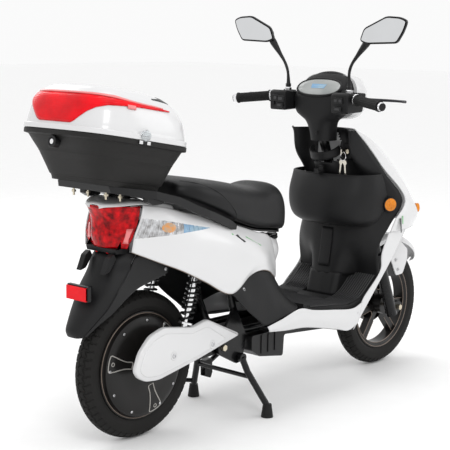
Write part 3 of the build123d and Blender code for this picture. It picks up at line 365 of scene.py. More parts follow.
RED_DARK = material("red_reflector", (0.17, 0.001, 0.004), 0.2, bump=0.6, scale=200, kind="voronoi",
                    var=0.4,
                    coat=0.05, spec=0.15, second_scale=80)
PINK = material("pink_lens", (0.74, 0.20, 0.20), 0.16, bump=0.15, scale=90, kind="wave_z", var=0.1,
                coat=0.3)
CLEAR = material("clear_lens", (0.93, 0.97, 1.0), 0.04, bump=0.06, scale=55, kind="wave_x", var=0.02,
                 coat=0.2,
                 transmission=0.97, rough_var=0.01)
SMOKE = material("blue_reflector", (0.10, 0.22, 0.38), 0.25, metal=0.1, bump=0.9, scale=45,
                 kind="wave_x", var=0.45,
                 second=(0.30, 0.42, 0.50), second_scale=30, spec=0.4)
AMBER = material("amber_lens", (0.66, 0.21, 0.008), 0.16, bump=0.5, scale=160, kind="voronoi", var=0.3,
                 coat=0.25,
                 spec=0.3)
GLASS = material("display_glass", (0.34, 0.35, 0.345), 0.16, bump=0.02, scale=20, var=0.1, coat=0.25,
                 second=(0.26, 0.275, 0.27), spec=0.3)
HEADLIGHT = material("headlight_lens", (0.42, 0.44, 0.46), 0.1, metal=0.3, bump=0.3, scale=48,
                     kind="wave_y",
                     var=0.2, second=(0.15, 0.16, 0.17), second_scale=20, coat=0.5)
SIGNAL = material("signal_reflector", (0.60, 0.61, 0.63), 0.25, metal=0.2, bump=0.9, scale=30,
                  kind="wave_x",
                  var=0.1, second=(0.13, 0.12, 0.11), second_scale=60, spec=0.4)
AMBER_GLINT = material("amber_glint", (0.62, 0.22, 0.02), 0.2, bump=0.8, scale=120, kind="voronoi", var=0.2,
                       second=(0.40, 0.33, 0.25), second_scale=110, spec=0.4)
MOTOR_LINE = material("motor_line", (0.40, 0.385, 0.36), 0.35, metal=0.3, bump=0.03, scale=400, var=0.08)
# floor mat ribs: a lighter, glossier copy of the mat's black rubber, a painted highlight along the raised
# ribs
MAT_RIB_PAINTED_HIGHLIGHT = material("floor_mat_rib_painted_highlight", (0.030, 0.030, 0.031), 0.42, bump=0.3, scale=300, var=0.15, spec=0.5)
MIRROR = material("mirror_glass", (0.68, 0.69, 0.70), 0.06, metal=1.0, bump=0.01, scale=10, var=0.02,
                  rough_var=0.01)
GREEN = material("green_stripe", (0.03, 0.42, 0.05), 0.3, bump=0.03, scale=200, var=0.1, coat=0.4)
DARKLINE = material("dark_stripe", (0.012, 0.012, 0.014), 0.35, bump=0.03, scale=200, var=0.1, coat=0.3)
BLADE = material("key_steel", (0.72, 0.68, 0.6), 0.25, metal=1.0, bump=0.05, scale=500, var=0.08)

node_material = {}


def dress(mat, *names):
    for n in names:
        node_material[n] = mat


dress(PAINT, "main_frame", "swingarm", "centre_stand", "side_stand", "fork_yoke", "fork_lowers",
      "handlebar")
dress(SATIN, "rack_rail", "battery_box", "mirror_left", "mirror_right", "seat_pan")
dress(BLACK, "floorboard", "rear_cowl", "rear_fender", "leg_shield", "storage_pocket",
      "handlebar_cover_rear",
      "switch_pods", "bag_hook", "horn_button", "turn_switch")
dress(BLACK_BOX, "box_base")
dress(WHITE, "side_fairing_left", "side_fairing_right", "front_apron", "floor_trims", "tail_cover",
      "seat_front_panel", "box_lid", "swingarm_cover", "handlebar_cover_front", "front_fender")
dress(WHEEL, "front_wheel", "hub_motor")
dress(VINYL, "seat_cushion")
dress(RUBBER, "rear_tyre", "front_tyre")
dress(SOFT, "stand_feet", "grip_left", "throttle_grip")
dress(CHROME, "shock_uppers", "shock_rods", "box_lock")
dress(ZINC, "chassis_fasteners", "rear_axle", "front_axle")
dress(BLADE, "ignition_key")
dress(ALLOY, "brake_lever_left", "brake_lever_right")
dress(RED, "tail_lamp_lens", "lid_reflector", "fender_reflector")
dress(CLEAR, "rear_signal_lenses", "headlamp_lens", "box_clasp_left", "box_clasp_right")
dress(AMBER, "amber_lenses")
dress(GLASS, "display")
dress(PAINT, "shock_springs")
for n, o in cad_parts.items():
    o.data.materials.clear()
    o.data.materials.append(node_material[n])
    o.data.shade_smooth()
    o.data.set_sharp_from_angle(angle=math.radians(32))


# ------------------------------------------------------------------ tyres
def tyre(name, x, body):
    half = [(22, 158.6), (25.5, 160), (29, 167), (30.2, 171), (31.2, 173), (31.0, 177), (31.9, 184),
            (31.8, 190),
            (31.3, 196)]
    crown = [(y, 215 - 17.4 * (abs(y) / 31.0) ** 2.3) for y in np.arange(30.6, -30.7, -0.9)]
    profile = half + crown + [(-y, r) for y, r in reversed(half)]
    steps = 540
    pitch = 2 * math.pi / 54
    verts = []
    for i in range(steps):
        a = 2 * math.pi * i / steps
        phase = (a / pitch) % 1.0
        tri = abs(2 * phase - 1) * 2 - 1
        for y, r in profile:
            depth = 0.0
            if r > 197 and abs(y) < 31:
                if abs(y - 3.4 * tri) < 1.4:
                    depth = 3.2
                edge = abs(y) - (15.5 + 2.6 * (tri if y > 0 else -tri))
                if abs(edge) < 1.4:
                    depth = 3.2
                lateral = (phase + (0.5 if y > 0 else 0.0) + 0.012 * abs(y)) % 1.0
                if abs(y) > 15.5 and lateral < 0.2:
                    depth = 3.4
                middle = (phase + (0.0 if y > 0 else 0.5)) % 1.0
                if 3.4 < abs(y) < 15.5 and middle < 0.13:
                    depth = 2.4
            rr = r - depth
            verts.append((x + rr * math.cos(a), y, AXLE_Z + rr * math.sin(a)))
    n = len(profile)
    faces = []
    for i in range(steps):
        k = (i + 1) % steps
        for j in range(n - 1):
            faces.append((i * n + j, i * n + j + 1, k * n + j + 1, k * n + j))
    obj = new_mesh(name, verts, faces, RUBBER, body, 38)
    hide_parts("rear_tyre" if x == 0 else "front_tyre")
    return obj


tyre("tyre_rear_tread", 0, "rear_wheel")
tyre("tyre_front_tread", FRONT_X, "front_wheel")


# ------------------------------------------------------------------ rear hub motor
def cover_y(r):
    return float(np.interp(r, [34, 60, 120, 146, 150], [53, 48, 46, 40, 30]))


def arc_line(x, y, r, a0, a1, n):
    angles = np.radians(np.linspace(a0, a1, n))
    return [(x + r * math.cos(a), y, AXLE_Z + r * math.sin(a)) for a in angles]


hub_profile = [(-18, 157.9), (-26.9, 157.9), (-27, 151), (-30, 149), (-38, 147.5), (-41, 143), (-43.6, 134),
               (-46, 121), (-46.6, 100), (-48, 62), (-50, 56), (-52.6, 44), (-53, 34), (-53, 14)]
hub = lathe("hub_motor_shell", hub_profile + [(-y, r) for y, r in reversed(hub_profile)], 0, WHEEL,
            "rear_wheel",
            steps=120)
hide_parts("hub_motor")
for side in (-1, 1):
    tag = "right" if side < 0 else "left"
    parts = [tube("rim_line", arc_line(0, side * 27.2, 153.4, 0, 360, 97), 1.3, BRONZE, None,
                  n=97, sides=6)]
    for lobe in (47, 167, 287):
        out = []
        for r, w in ((58, 9), (80, 10), (104, 15), (124, 21), (138, 23)):
            out.append((r, w))
        left = []
        for sgn in (1, -1):
            seq = out if sgn > 0 else out[::-1]
            for r, w in seq:
                a = math.radians(lobe)
                px = r * math.cos(a) - sgn * w * math.sin(a)
                pz = r * math.sin(a) + sgn * w * math.cos(a)
                rr = math.hypot(px, pz)
                left.append((px, side * (cover_y(rr) + 0.4), 215 + pz))
        parts.append(tube("lobe_line", left, 1.7, MOTOR_LINE, None, n=60, sides=6, closed=True))
        a = math.radians(lobe)
        eye = [(129 * math.cos(a) + 5 * math.cos(t), side * (cover_y(128) + 0.6), AXLE_Z + 129 * math.sin(a)
                + 5 * math.sin(t)) for t in turn(12)]
        parts.append(tube("lobe_eye", eye, 1.2, MOTOR_LINE, None, n=25, sides=6, closed=True))
    for k in range(9):
        a = math.radians(47 + 40 * k)
        if k % 3 == 0:
            a += math.radians(9)
        centre = (135 * math.cos(a), side * (cover_y(135) - 0.5), AXLE_Z + 135 * math.sin(a))
        parts.append(bolt("cover_bolt", centre, (0, side, 0), 4.2, 3.0, STEEL, None))
    lines = join("motor_trim_" + tag, parts)
    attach(lines, "rear_wheel")

# ------------------------------------------------------------------ front wheel lines
wheel_lines = []
for side in (-1, 1):
    wheel_lines.append(tube("rim_line", arc_line(FRONT_X, side * 27.2, 153.6, 0, 360, 97), 1.4, BRONZE,
                            None,
                            n=97, sides=6))
    wheel_lines.append(tube("rim_inner", arc_line(FRONT_X, side * 20.5, 141, 0, 360, 97), 1.2, BRONZE,
                            None,
                            n=97, sides=6))
    for pair in (93, 213, 333):
        u_line = []
        for lean, edge in ((-22, 11.2), (22, -11.2)):
            a = math.radians(pair + lean)
            pts = []
            for r in (139, 110, 84, 66):
                pts.append((FRONT_X + r * math.cos(a) - edge * math.sin(a),
                            side * 13.4 if side > 0 else -13.4,
                            AXLE_Z + r * math.sin(a) + edge * math.cos(a)))
            u_line.append(pts)
        bottom = [(FRONT_X + 52 * math.cos(math.radians(pair + d)), side * 13.4,
                   AXLE_Z + 52 * math.sin(math.radians(pair + d))) for d in (-8, 8)]
        line = u_line[0] + bottom + u_line[1][::-1]
        wheel_lines.append(tube("spoke_line", line, 1.2, BRONZE, None, n=70, sides=6))
        for lean, edge in ((-22, -11.2), (22, 11.2)):
            a = math.radians(pair + lean)
            pts = [(FRONT_X + r * math.cos(a) - edge * math.sin(a), side * 13.4, AXLE_Z + r * math.sin(a)
                    + edge * math.cos(a)) for r in (66, 90, 115, 139)]
            wheel_lines.append(tube("spoke_line", pts, 1.2, BRONZE, None, n=20, sides=6))
lines = join("front_wheel_lines", wheel_lines)
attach(lines, "front_wheel")
lathe("front_drum", [(8, 30), (8, 64), (12, 68), (36, 68), (42, 62), (43, 44), (42, 26)], FRONT_X, PAINT,
      "front_wheel")
tube("front_valve", [(FRONT_X, 4, 350), (FRONT_X, -2, 336), (FRONT_X, -4, 322)], 2.6, BRONZE, "front_wheel",
     n=12)

# ------------------------------------------------------------------ shock springs
shock_low = np.array([108.0, 0.0, 292.0])
shock_dir = np.array([64.0, 0.0, 202.0])
shock_len = float(np.linalg.norm(shock_dir))
shock_dir /= shock_len
for side in (-1, 1):
    tag = "right" if side < 0 else "left"
    base = shock_low + np.array([0, side * 84.0, 0])
    u = np.array([0.0, 1.0, 0.0])
    v = np.cross(shock_dir, u)
    turns = 8.0
    pts = []
    for s in np.linspace(0, 1, 230):
        a = 2 * math.pi * turns * s
        t = 46.5 + (172 - 46.5) * (s + 0.03 * math.sin(2 * math.pi * s))
        pts.append(base + shock_dir * t + 18.2 * (math.cos(a) * u + math.sin(a) * v))
    coil = tube("shock_coil_" + tag, pts, 3.1, PAINT, None, sides=9, smooth_line=False)
    if side < 0:
        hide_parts("shock_springs")
    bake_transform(coil)
    for t, r, h, mat, body in ((174, 21.5, 5, CHROME, "chassis"), (180, 16, 9, CHROME, "chassis"),
                               (38.5, 21.5, 4, CHROME, "shock_lowers")):
        loops = []
        for rr, hh in ((r - 1, 0), (r, 1), (r, h - 1), (r - 1, h)):
            loops.append([base + shock_dir * (t + hh) + rr * (math.cos(a) * u + math.sin(a) * v)
                          for a in turn(32)])
        rings("shock_collar_%s_%d" % (tag, t), loops, mat, body)

# ------------------------------------------------------------------ side fairings, lenses and lamp
FAIR_TOP = [(-66, 100, 694), (0, 112, 683), (86, 118, 659), (160, 116, 644), (262, 112, 612),
            (400, 104, 568),
            (470, 92, 548), (503, 86, 505), (523, 80, 430)]
FAIR_UP = [(-80, 104, 655), (0, 134, 632), (86, 155, 607), (160, 159, 590), (262, 158, 560),
           (400, 134, 524),
           (462, 112, 500), (500, 97, 465), (522, 81, 420)]
FAIR_MID = [(-96, 99, 612), (-20, 134, 580), (60, 164, 545), (140, 171, 508), (235, 173, 466),
            (340, 162, 490),
            (400, 148, 488), (452, 123, 468), (494, 99, 438), (521, 81, 414)]
FAIR_LOW = [(-102, 94, 567), (-36, 124, 537), (32, 157, 506), (113, 166, 466), (223, 171, 415),
            (318, 157, 455),
            (369, 152, 462), (420, 140, 452), (477, 111, 425), (520, 80, 409)]


def flip_y(points):
    return [(x, -y, z) for x, y, z in points]


def fairing_point(rows_grid, x, z):
    flat = rows_grid.reshape(-1, 3)
    d = (flat[:, 0] - x) ** 2 + (flat[:, 2] - z) ** 2
    k = np.argsort(d)[:4]
    w = 1.0 / (d[k] + 1.0)
    return float((flat[k, 1] * w).sum() / w.sum())


fair_grid = grid_points([FAIR_TOP, FAIR_UP, FAIR_MID, FAIR_LOW], 60, 160)
for side, tag in ((-1, "right"), (1, "left")):
    rows = [FAIR_TOP, FAIR_UP, FAIR_MID, FAIR_LOW]
    if side < 0:
        rows = [flip_y(r) for r in rows]
    obj = panel("fairing_skin_" + tag, rows, WHITE, "chassis", nu=30, nv=90, thick=3.5,
                flip=side > 0)
    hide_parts("side_fairing_" + tag)
    edge = [(x, side * (y + 0.2), z) for x, y, z in FAIR_LOW]
    tube("fairing_edge_" + tag, edge, 2.2, BRONZE, "chassis", n=90, sides=8)

    def skin(x, z, lift):
        return (x, side * (fairing_point(fair_grid, x, z) + lift), z)

    top = [(-74, 662), (-20, 653), (60, 636), (110, 624), (152, 614)]
    low = [(-99, 600), (-30, 604), (50, 609), (110, 611.5), (152, 613)]
    for name, lift, mat, slot, u0, u1 in (("signal_bowl_", 5.0, SIGNAL, "clear_lens", 0.0, 0.50),
                                          ("signal_wing_", 4.6, SMOKE, "clear_lens", 0.49, 1.0)):
        rows = []
        tl, ll = catmull(top, 40), catmull(low, 40)
        i0, i1 = int(u0 * 39), int(round(u1 * 39))
        for f in np.linspace(0, 1, 8):
            row = []
            for i in range(i0, i1 + 1):
                x, z = tl[i] * (1 - f) + ll[i] * f
                row.append(skin(x, z, lift * min(1.0, 4 * f * (1 - f) + 0.6)))
            rows.append(row)
        verts = [p for r in rows for p in r]
        obj = new_mesh(name + tag, verts, grid_faces(len(rows), len(rows[0]), flip=side > 0), mat,
                       "chassis")
        if name == "signal_bowl_" and side < 0:
            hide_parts("rear_signal_lenses")
    for name, line, mat in (("green", ((222, 606), (228, 606), (252, 582), (246, 582)), GREEN),
                            ("dark", ((238, 604), (250, 604), (276, 578), (302, 556), (292, 556),
                                      (264, 576)), DARKLINE),
                            ("fine", ((316, 569), (350, 552), (388, 534), (388, 532), (350, 549.5),
                                      (316, 566)), GREEN)):
        flat = [(skin(x, z, 3.6)[0], skin(x, z, 3.6)[1], z) for x, z in line]
        plate("fairing_stripe_%s_%s" % (name, tag), flat, (0, side, 0.4), 1.2, mat, "chassis")
    bulb = []
    for k in range(8):
        t = k / 7 * math.pi
        bulb.append([skin(-2 + 25 * math.sin(t) * math.cos(a) * 0.9, 629 + 14 * math.sin(t) * math.sin(a),
                          5.2 - 2.0 * math.cos(t)) for a in turn(16)])
    rings("signal_bulb_" + tag, bulb, AMBER_GLINT, "chassis")
    flutes = []
    for k in range(9):
        t = 0.04 + k * 0.052
        i = int(t * 39)
        a, b = tl[i], ll[i]
        flutes.append(tube("f", [skin(*(a * (1 - f) + b * f), 5.2) for f in (0.08, 0.36, 0.64, 0.92)],
                           0.9, CHROME,
                           None, n=14, sides=6))
    for k in range(5):
        t = 0.53 + k * 0.075
        i = int(t * 39)
        a, b = tl[i], ll[i]
        flutes.append(tube("f", [skin(*(a * (1 - f) + b * f), 4.9) for f in (0.1, 0.4, 0.6, 0.9)], 0.8,
                           SMOKE, None,
                           n=12, sides=6))
    obj = join("signal_flutes_" + tag, flutes)
    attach(obj, "chassis")

LAMP = {
    690: [(-152, 0), (-146, 36), (-120, 68), (-93, 92), (-76, 100)],
    664: [(-138, 0), (-133, 36), (-110, 64), (-88, 86), (-78, 99)],
    642: [(-134, 0), (-129, 34), (-108, 60), (-90, 82), (-84, 98)],
    606: [(-137, 0), (-131, 34), (-112, 58), (-103, 72), (-98, 95)],
    574: [(-132, 0), (-126, 30), (-114, 50), (-108, 62), (-103, 78)],
}


def both(half, z, shift=0.0):
    return [(x - shift, -y, z) for x, y in reversed(half) if y > 0] + [(x - shift, y, z) for x, y in half]


lamp_rows = [both(LAMP[z], z) for z in sorted(LAMP, reverse=True)]
lamp = panel("tail_lamp_glass", lamp_rows, RED_DEEP, "chassis", nu=26, nv=70, thick=3.0,
             flip=True)
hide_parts("tail_lamp_lens")
panel("tail_lamp_band", [both(LAMP[690], 691, 0.8), both(LAMP[664], 667, 0.8)], RED, "chassis",
      nu=10,
      nv=70, thick=1.5, flip=True)
strip_rows = [[(-102, -75, 628), (-92, -92, 630)], [(-106, -72, 606), (-100, -92, 606)],
              [(-109, -66, 588), (-104, -84, 588)]]
panel("tail_lamp_reflector_right", strip_rows, PINK, "chassis", nu=5, nv=6, thick=1.0,
      flip=False)
panel("tail_lamp_reflector_left", [flip_y(r) for r in strip_rows], PINK, "chassis", nu=5, nv=6,
      thick=1.0, flip=True)

deck_rows = []
for x, w, z in ((-155, 20, 692), (-150, 40, 697), (-122, 70, 700), (-70, 101, 704), (44, 111, 683)):
    deck_rows.append([(x, -w, z - 8), (x, -w * 0.93, z - 1), (x, -w * 0.5, z + 2), (x, 0, z + 3),
                      (x, w * 0.5, z + 2),
                      (x, w * 0.93, z - 1), (x, w, z - 8)])
deck = panel("tail_deck", deck_rows, WHITE, "chassis", nu=20, nv=40, thick=3.0, flip=True)
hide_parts("tail_cover")

# ------------------------------------------------------------------ rear cowl
cowl_top = [(223, 168, 411), (270, 160, 431), (318, 152, 452), (369, 147, 459), (420, 136, 449),
            (477, 108, 422),
            (521, 78, 405)]
cowl_shelf = [(236, 170, 404), (275, 170, 398), (317, 167, 384), (370, 163, 378), (430, 158, 368),
              (510, 136, 354),
              (545, 84, 354)]
cowl_low = [(245, 169, 396), (285, 169, 360), (335, 169, 322), (382, 169, 292), (450, 169, 304),
            (530, 166, 322),
            (553, 110, 338)]
for side, tag in ((-1, "right"), (1, "left")):
    rows = [cowl_top, cowl_shelf, cowl_low]
    if side < 0:
        rows = [flip_y(r) for r in rows]
    obj = panel("cowl_skin_" + tag, rows, BLACK, "chassis", nu=26, nv=60, thick=3.5,
                flip=side > 0)
    if side < 0:
        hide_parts("rear_cowl")
    bolt("cowl_bolt_" + tag, (282, side * 164, 417), (0, side, 0.2), 6, 4, STEEL, "chassis")
cowl_front = [[(521, -80, 406), (521, 0, 408), (521, 80, 406)],
              [(545, -84, 354), (548, 0, 356), (545, 84, 354)],
              [(553, -110, 338), (556, 0, 338), (553, 110, 338)]]
panel("cowl_front", cowl_front, BLACK, "chassis", nu=10, nv=24, thick=3.0, flip=False)
nose_rows = [[(470, -90, 548), (520, -72, 530), (560, -50, 522), (592, 0, 520), (560, 50, 522),
              (520, 72, 530), (470, 90, 548)],
             [(503, -86, 505), (545, -70, 492), (572, -45, 485), (586, 0, 482), (572, 45, 485),
              (545, 70, 492), (503, 86, 505)],
             [(522, -80, 430), (528, -62, 425), (536, -40, 422), (540, 0, 420), (536, 40, 422),
              (528, 62, 425), (522, 80, 430)]]
nose = panel("seat_nose_panel", nose_rows, WHITE, "chassis", nu=16, nv=40, thick=3.0,
             flip=False)
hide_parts("seat_front_panel")

# ------------------------------------------------------------------ top box
BOX_O = np.array([-131.0, 0.0, 761.0])
BU = np.array([math.cos(TILT), 0.0, -math.sin(TILT)])
BW = np.array([math.sin(TILT), 0.0, math.cos(TILT)])
BV = np.array([0.0, 1.0, 0.0])


def box_at(u, v, w):
    return BOX_O + BU * u + BV * v + BW * w


BASE_TABLE = np.array([  # height, half length, half width, shift, squareness
    [0, 126, 122, 18.5, 4.6], [3, 129, 125.5, 18.7, 4.6], [60, 156, 153, 9.5, 4.0],
    [103, 183, 181, 0.5, 3.6],
])
LID_TABLE = np.array([
    [130, 187.5, 186, -1, 3.6], [150, 184.5, 183.5, -2, 3.6], [176, 178.5, 178.5, -4, 3.6],
    [200, 167.5, 170.5, -8.5, 3.5], [222, 151, 155.5, -15, 3.4], [237, 127, 133, -22, 3.3],
    [246, 96, 104, -28, 3.1],
    [250, 55, 62, -30, 2.8], [251.5, 4, 4, -31, 2.4],
])


def box_ring(table, w, grow=0.0, n=96, angles=None):
    a, b, shift, power = [float(np.interp(w, table[:, 0], table[:, k])) for k in (1, 2, 3, 4)]
    angles = np.linspace(0, 2 * math.pi, n, endpoint=False) if angles is None else angles
    out = []
    for t in angles:
        c, s = math.cos(t), math.sin(t)
        u = (a + grow) * math.copysign(abs(c) ** (2 / power), c) + shift
        v = (b + grow) * math.copysign(abs(s) ** (2 / power), s)
        out.append(box_at(u, v, w))
    return out


base_loops = [box_ring(BASE_TABLE, 0.0), box_ring(BASE_TABLE, 1.0, 1.5), box_ring(BASE_TABLE, 4.0, 0.5)]
base_loops += [box_ring(BASE_TABLE, w) for w in (20, 40, 58)]
base_loops += [box_ring(BASE_TABLE, 60, 0.9)] + [box_ring(BASE_TABLE, w) for w in (62, 80, 101)]
base_loops += [box_ring(BASE_TABLE, 103, 8), box_ring(BASE_TABLE, 104.5, 9.8),
               box_ring(BASE_TABLE, 115.5, 9.8),
               box_ring(BASE_TABLE, 116.6, 8), box_ring(BASE_TABLE, 116.6, -2),
               box_ring(BASE_TABLE, 103, -4),
               box_ring(BASE_TABLE, 60, -5), box_ring(BASE_TABLE, 6, -5)]
base = rings("box_base_shell", base_loops, BLACK_BOX, "chassis", cap=True, smooth=28)
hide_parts("box_base")
foot_pads = []
for u in (-77, 113):
    for v in (-75, 75):
        loops = []
        for w, g in ((-7.8, 0), (-6, 2), (1, 3)):
            loops.append([box_at(u + (20 + g) * squarish(math.cos(t), 0.5),
                                 v + (16 + g) * squarish(math.sin(t), 0.5), w)
                          for t in turn(32)])
        foot_pads.append(rings("pad", loops, BLACK_BOX, None))
pad_loops = [[box_at(18.5 + a * squarish(math.cos(t), 0.45),
                     b * squarish(math.sin(t), 0.45), w)
              for t in turn(64)] for w, a, b in
             ((-14, 122, 118), (-6.4, 124, 120), (0.8, 127, 123))]
foot_pads.append(rings("pad", pad_loops, BLACK_BOX, None))
pads = join("box_feet", foot_pads)
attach(pads, "chassis")

lid_loops = [box_ring(LID_TABLE, w + 3.5, -3.5) for w in (243, 237, 222, 200, 176, 150, 130)]
lid_loops = [[tuple(np.array(p) - BW * 3.5) for p in loop] for loop in lid_loops]
lid_loops += [box_ring(LID_TABLE, 119, -4), box_ring(LID_TABLE, 117.4, -3),
              box_ring(LID_TABLE, 117.4, 4.5), box_ring(LID_TABLE, 118.5, 5.5),
             box_ring(LID_TABLE, 129.5, 5.3), box_ring(LID_TABLE, 131, 4.3),
             box_ring(LID_TABLE, 131.6, 0.5)]
lid_loops += [box_ring(LID_TABLE, w) for w in (133, 141, 150, 158, 167, 176, 184, 192, 200, 207, 215,
                                               222, 227, 232,
                                               237, 240, 243, 246, 248, 249.5, 250.4, 251.2)]
lid = rings("box_lid_shell", lid_loops, WHITE, "lid", cap=True, smooth=35)
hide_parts("box_lid")


def lid_patch(name, lower, upper, mat, grow0, grow1, rows=10, body="lid"):
    """A patch over the lid: lower and upper give height for each angle from the rear centre."""
    degrees = np.linspace(lower[0][0], lower[-1][0], 220)
    lo = np.interp(degrees, [a for a, _ in lower], [w for _, w in lower])
    hi = np.interp(degrees, [a for a, _ in upper], [w for _, w in upper])
    verts = []
    for f in np.linspace(0, 1, rows):
        for d, l, h in zip(degrees, lo, hi):
            w = l + (h - l) * f
            edge = min(1.0, 6 * f, 6 * (1 - f) + 0.2)
            verts.append(box_ring(LID_TABLE, w, grow0 + (grow1 - grow0) * edge,
                                  angles=[math.radians(180 - d)])[0])
    obj = new_mesh(name, verts, grid_faces(rows, len(degrees), flip=False), mat, body)
    thicken(obj, 2.0, 0.0)
    return obj


edge_low = [(0, 138), (8, 138), (11, 143), (16, 156), (24, 172), (35, 185), (50, 194), (87, 201),
            (104, 203.5)]
edge_high = [(0, 217), (20, 217), (35, 216), (60, 214), (87, 210), (104, 205)]
low = [(-a, w) for a, w in edge_low[:0:-1]] + edge_low
high = [(-a, w) for a, w in edge_high[:0:-1]] + edge_high
refl = lid_patch("lid_lens_red", low, high, RED, 0.6, 3.4)
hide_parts("lid_reflector")
lid_patch("lid_lens_pink", [(-98, 208), (-60, 215), (-35, 217.5), (35, 217.5), (60, 215), (98, 208)],
          [(-98, 210), (-60, 222), (-35, 223), (35, 223), (60, 222), (98, 210)], PINK, 0.4, 2.4, rows=5)
for side in (-1, 1):
    tag = "right" if side < 0 else "left"
    lid_patch("lid_lens_clear_" + tag, [(side * 74, 192), (side * 82, 192)],
              [(side * 74, 206), (side * 82, 205.5)],
              PINK, 1.0, 4.2, rows=4)
lid_patch("lid_front_strip", [(96, 229), (130, 226), (180, 224), (230, 226), (264, 229)],
          [(96, 231), (130, 240), (180, 243), (230, 240), (264, 231)], SATIN, 0.3, 1.2, rows=6)
for side in (-1, 1):
    tag = "right" if side < 0 else "left"
    body = "clasp_" + tag
    loops = []
    for k, (v, g) in enumerate(((190.6, 0.8), (193, 1.0), (196, 0.9), (197.6, 0.5))):
        loops.append([box_at(-34 + 18 * g * math.cos(t), side * v, 130 + 15 * g * math.sin(t))
                      for t in turn(28)])
    obj = rings("clasp_cover_" + tag, loops, CLEAR, body)
    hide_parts("box_clasp_" + tag)
    buckle = []
    for k in range(3):
        u0 = -56 + 14 * k
        buckle.append(plate("b", [box_at(u0, side * 192.8, 106), box_at(u0 + 12.5, side * 192.8, 106),
                                  box_at(u0 + 12.5, side * 192.8, 115), box_at(u0, side * 192.8, 115)],
                            (0, side, 0), 2.6, CHROME if k != 1 else SATIN, None, 0.8))
    obj = join("clasp_buckle_" + tag, buckle)
    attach(obj, body)
loops = []
for du, r in ((-170, 16.5), (-188, 16.5), (-189, 15.5), (-189, 10.5), (-186, 10)):
    loops.append([box_at(du, r * math.cos(t), 84 + r * math.sin(t)) for t in turn(40)])
rings("box_lock_ring", loops, SATIN, "chassis")

# ------------------------------------------------------------------ outlines
def rounded(points, radius, n=4):
    """Corners of a closed 2-D outline rounded off."""
    pts = [np.array(p, float) for p in points]
    out = []
    for i, p in enumerate(pts):
        a, b = pts[i - 1] - p, pts[(i + 1) % len(pts)] - p
        la, lb = np.linalg.norm(a), np.linalg.norm(b)
        cut = min(radius, 0.42 * la, 0.42 * lb)
        p0, p1 = p + a / la * cut, p + b / lb * cut
        for t in np.linspace(0, 1, n):
            out.append(tuple((1 - t) ** 2 * p0 + 2 * t * (1 - t) * p + t ** 2 * p1))
    return out


def inset(points, distance):
    """A closed 2-D outline moved inwards."""
    pts = np.array(points, float)
    x, y = pts[:, 0], pts[:, 1]
    turn = np.sign((x * np.roll(y, -1) - np.roll(x, -1) * y).sum())
    t = np.roll(pts, -1, axis=0) - np.roll(pts, 1, axis=0)
    t /= np.maximum(np.linalg.norm(t, axis=1), 1e-6)[:, None]
    normal = np.stack([-t[:, 1], t[:, 0]], axis=1) * turn
    return [tuple(p) for p in pts + normal * distance]


def side_form(name, outline, steps, mat, body, smooth=35):
    """A form built up sideways from a side view: steps are (y, inset) pairs."""
    loops = [[(x, y, z) for x, z in inset(outline, d)] for y, d in steps]
    return rings(name, loops, mat, body, smooth=smooth)


def fix_normals(obj):
    bm = bmesh.new()
    bm.from_mesh(obj.data)
    bmesh.ops.recalc_face_normals(bm, faces=bm.faces)
    bm.to_mesh(obj.data)
    bm.free()
    return obj


# ------------------------------------------------------------------ seat
SEAT = np.array([  # ahead, underside, top, half width
    [69, 702, 738, 84], [76, 695, 748, 98], [90, 690, 751, 110], [130, 676, 752, 127], [200, 648, 743, 135],
    [308, 606, 725, 134], [400, 577, 706, 123], [455, 567, 699, 116], [505, 560, 707, 108],
    [542, 554, 700, 95],
    [570, 549, 680, 78], [589, 548, 656, 60], [603, 552, 628, 42], [612, 564, 602, 23], [615, 578, 590, 8],
])
seat_lines = catmull(SEAT, 56)
seat_loops = []
for x, low_z, top_z, w in seat_lines:
    mid = low_z + (top_z - low_z) * 0.36
    loop = []
    for a in turn(48):
        c, s = math.cos(a), math.sin(a)
        yy = w * math.copysign(abs(c) ** 0.62, c)
        if s >= 0:
            zz = mid + (top_z - mid) * abs(s) ** 0.72
        else:
            zz = mid - (mid - low_z) * abs(s) ** 0.45
            yy *= 1 - 0.10 * abs(s)
        loop.append((x, yy, zz))
    seat_loops.append(loop)
seat = rings("seat_cushion_cover", seat_loops, VINYL, None, smooth=70)
seam_side = [(98, 746), (140, 738), (200, 713), (250, 674), (283, 640), (306, 606)]


def seat_half_width(x, z):
    low_z, top_z, w = [float(np.interp(x, SEAT[:, 0], SEAT[:, k])) for k in (1, 2, 3)]
    mid = low_z + (top_z - low_z) * 0.36
    if z >= mid:
        s = min(0.999, ((z - mid) / (top_z - mid)) ** (1 / 0.72))
        return w * math.sqrt(1 - s * s) ** 0.62
    s = min(0.999, ((mid - z) / (mid - low_z)) ** (1 / 0.45))
    return w * math.sqrt(1 - s * s) ** 0.62 * (1 - 0.1 * s)


seat_mod = seat.modifiers.new("round", "SUBSURF")
seat_mod.levels = seat_mod.render_levels = 1
seat.data.materials.append(VINYL_SMOOTH)
for poly in seat.data.polygons:
    cx, cz = poly.center.x / MM - REAR, poly.center.z / MM
    edge_x = float(np.interp(cz, [606, 640, 674, 713, 738, 746], [306, 283, 250, 200, 140, 98]))
    if cx < edge_x and abs(poly.center.y) > 0.075:
        poly.material_index = 1
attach(seat, "seat")
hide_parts("seat_cushion")
piping = []
for side in (-1, 1):
    line = [(x, side * (seat_half_width(x, z) + 0.4), z) for x, z in
            catmull([(p[0], p[1]) for p in seam_side], 26)]
    piping.append(tube("p", line, 1.5, VINYL, None, n=70, sides=8))
    rim = [(x, side * (seat_half_width(x, z) + 0.2), z) for x, z in
           ((90, 696), (160, 668), (230, 642), (308, 614), (400, 585), (470, 573), (540, 564),
            (590, 557), (618, 557))]
    piping.append(tube("p", rim, 1.5, VINYL, None, n=90, sides=8))
pan_rows = []
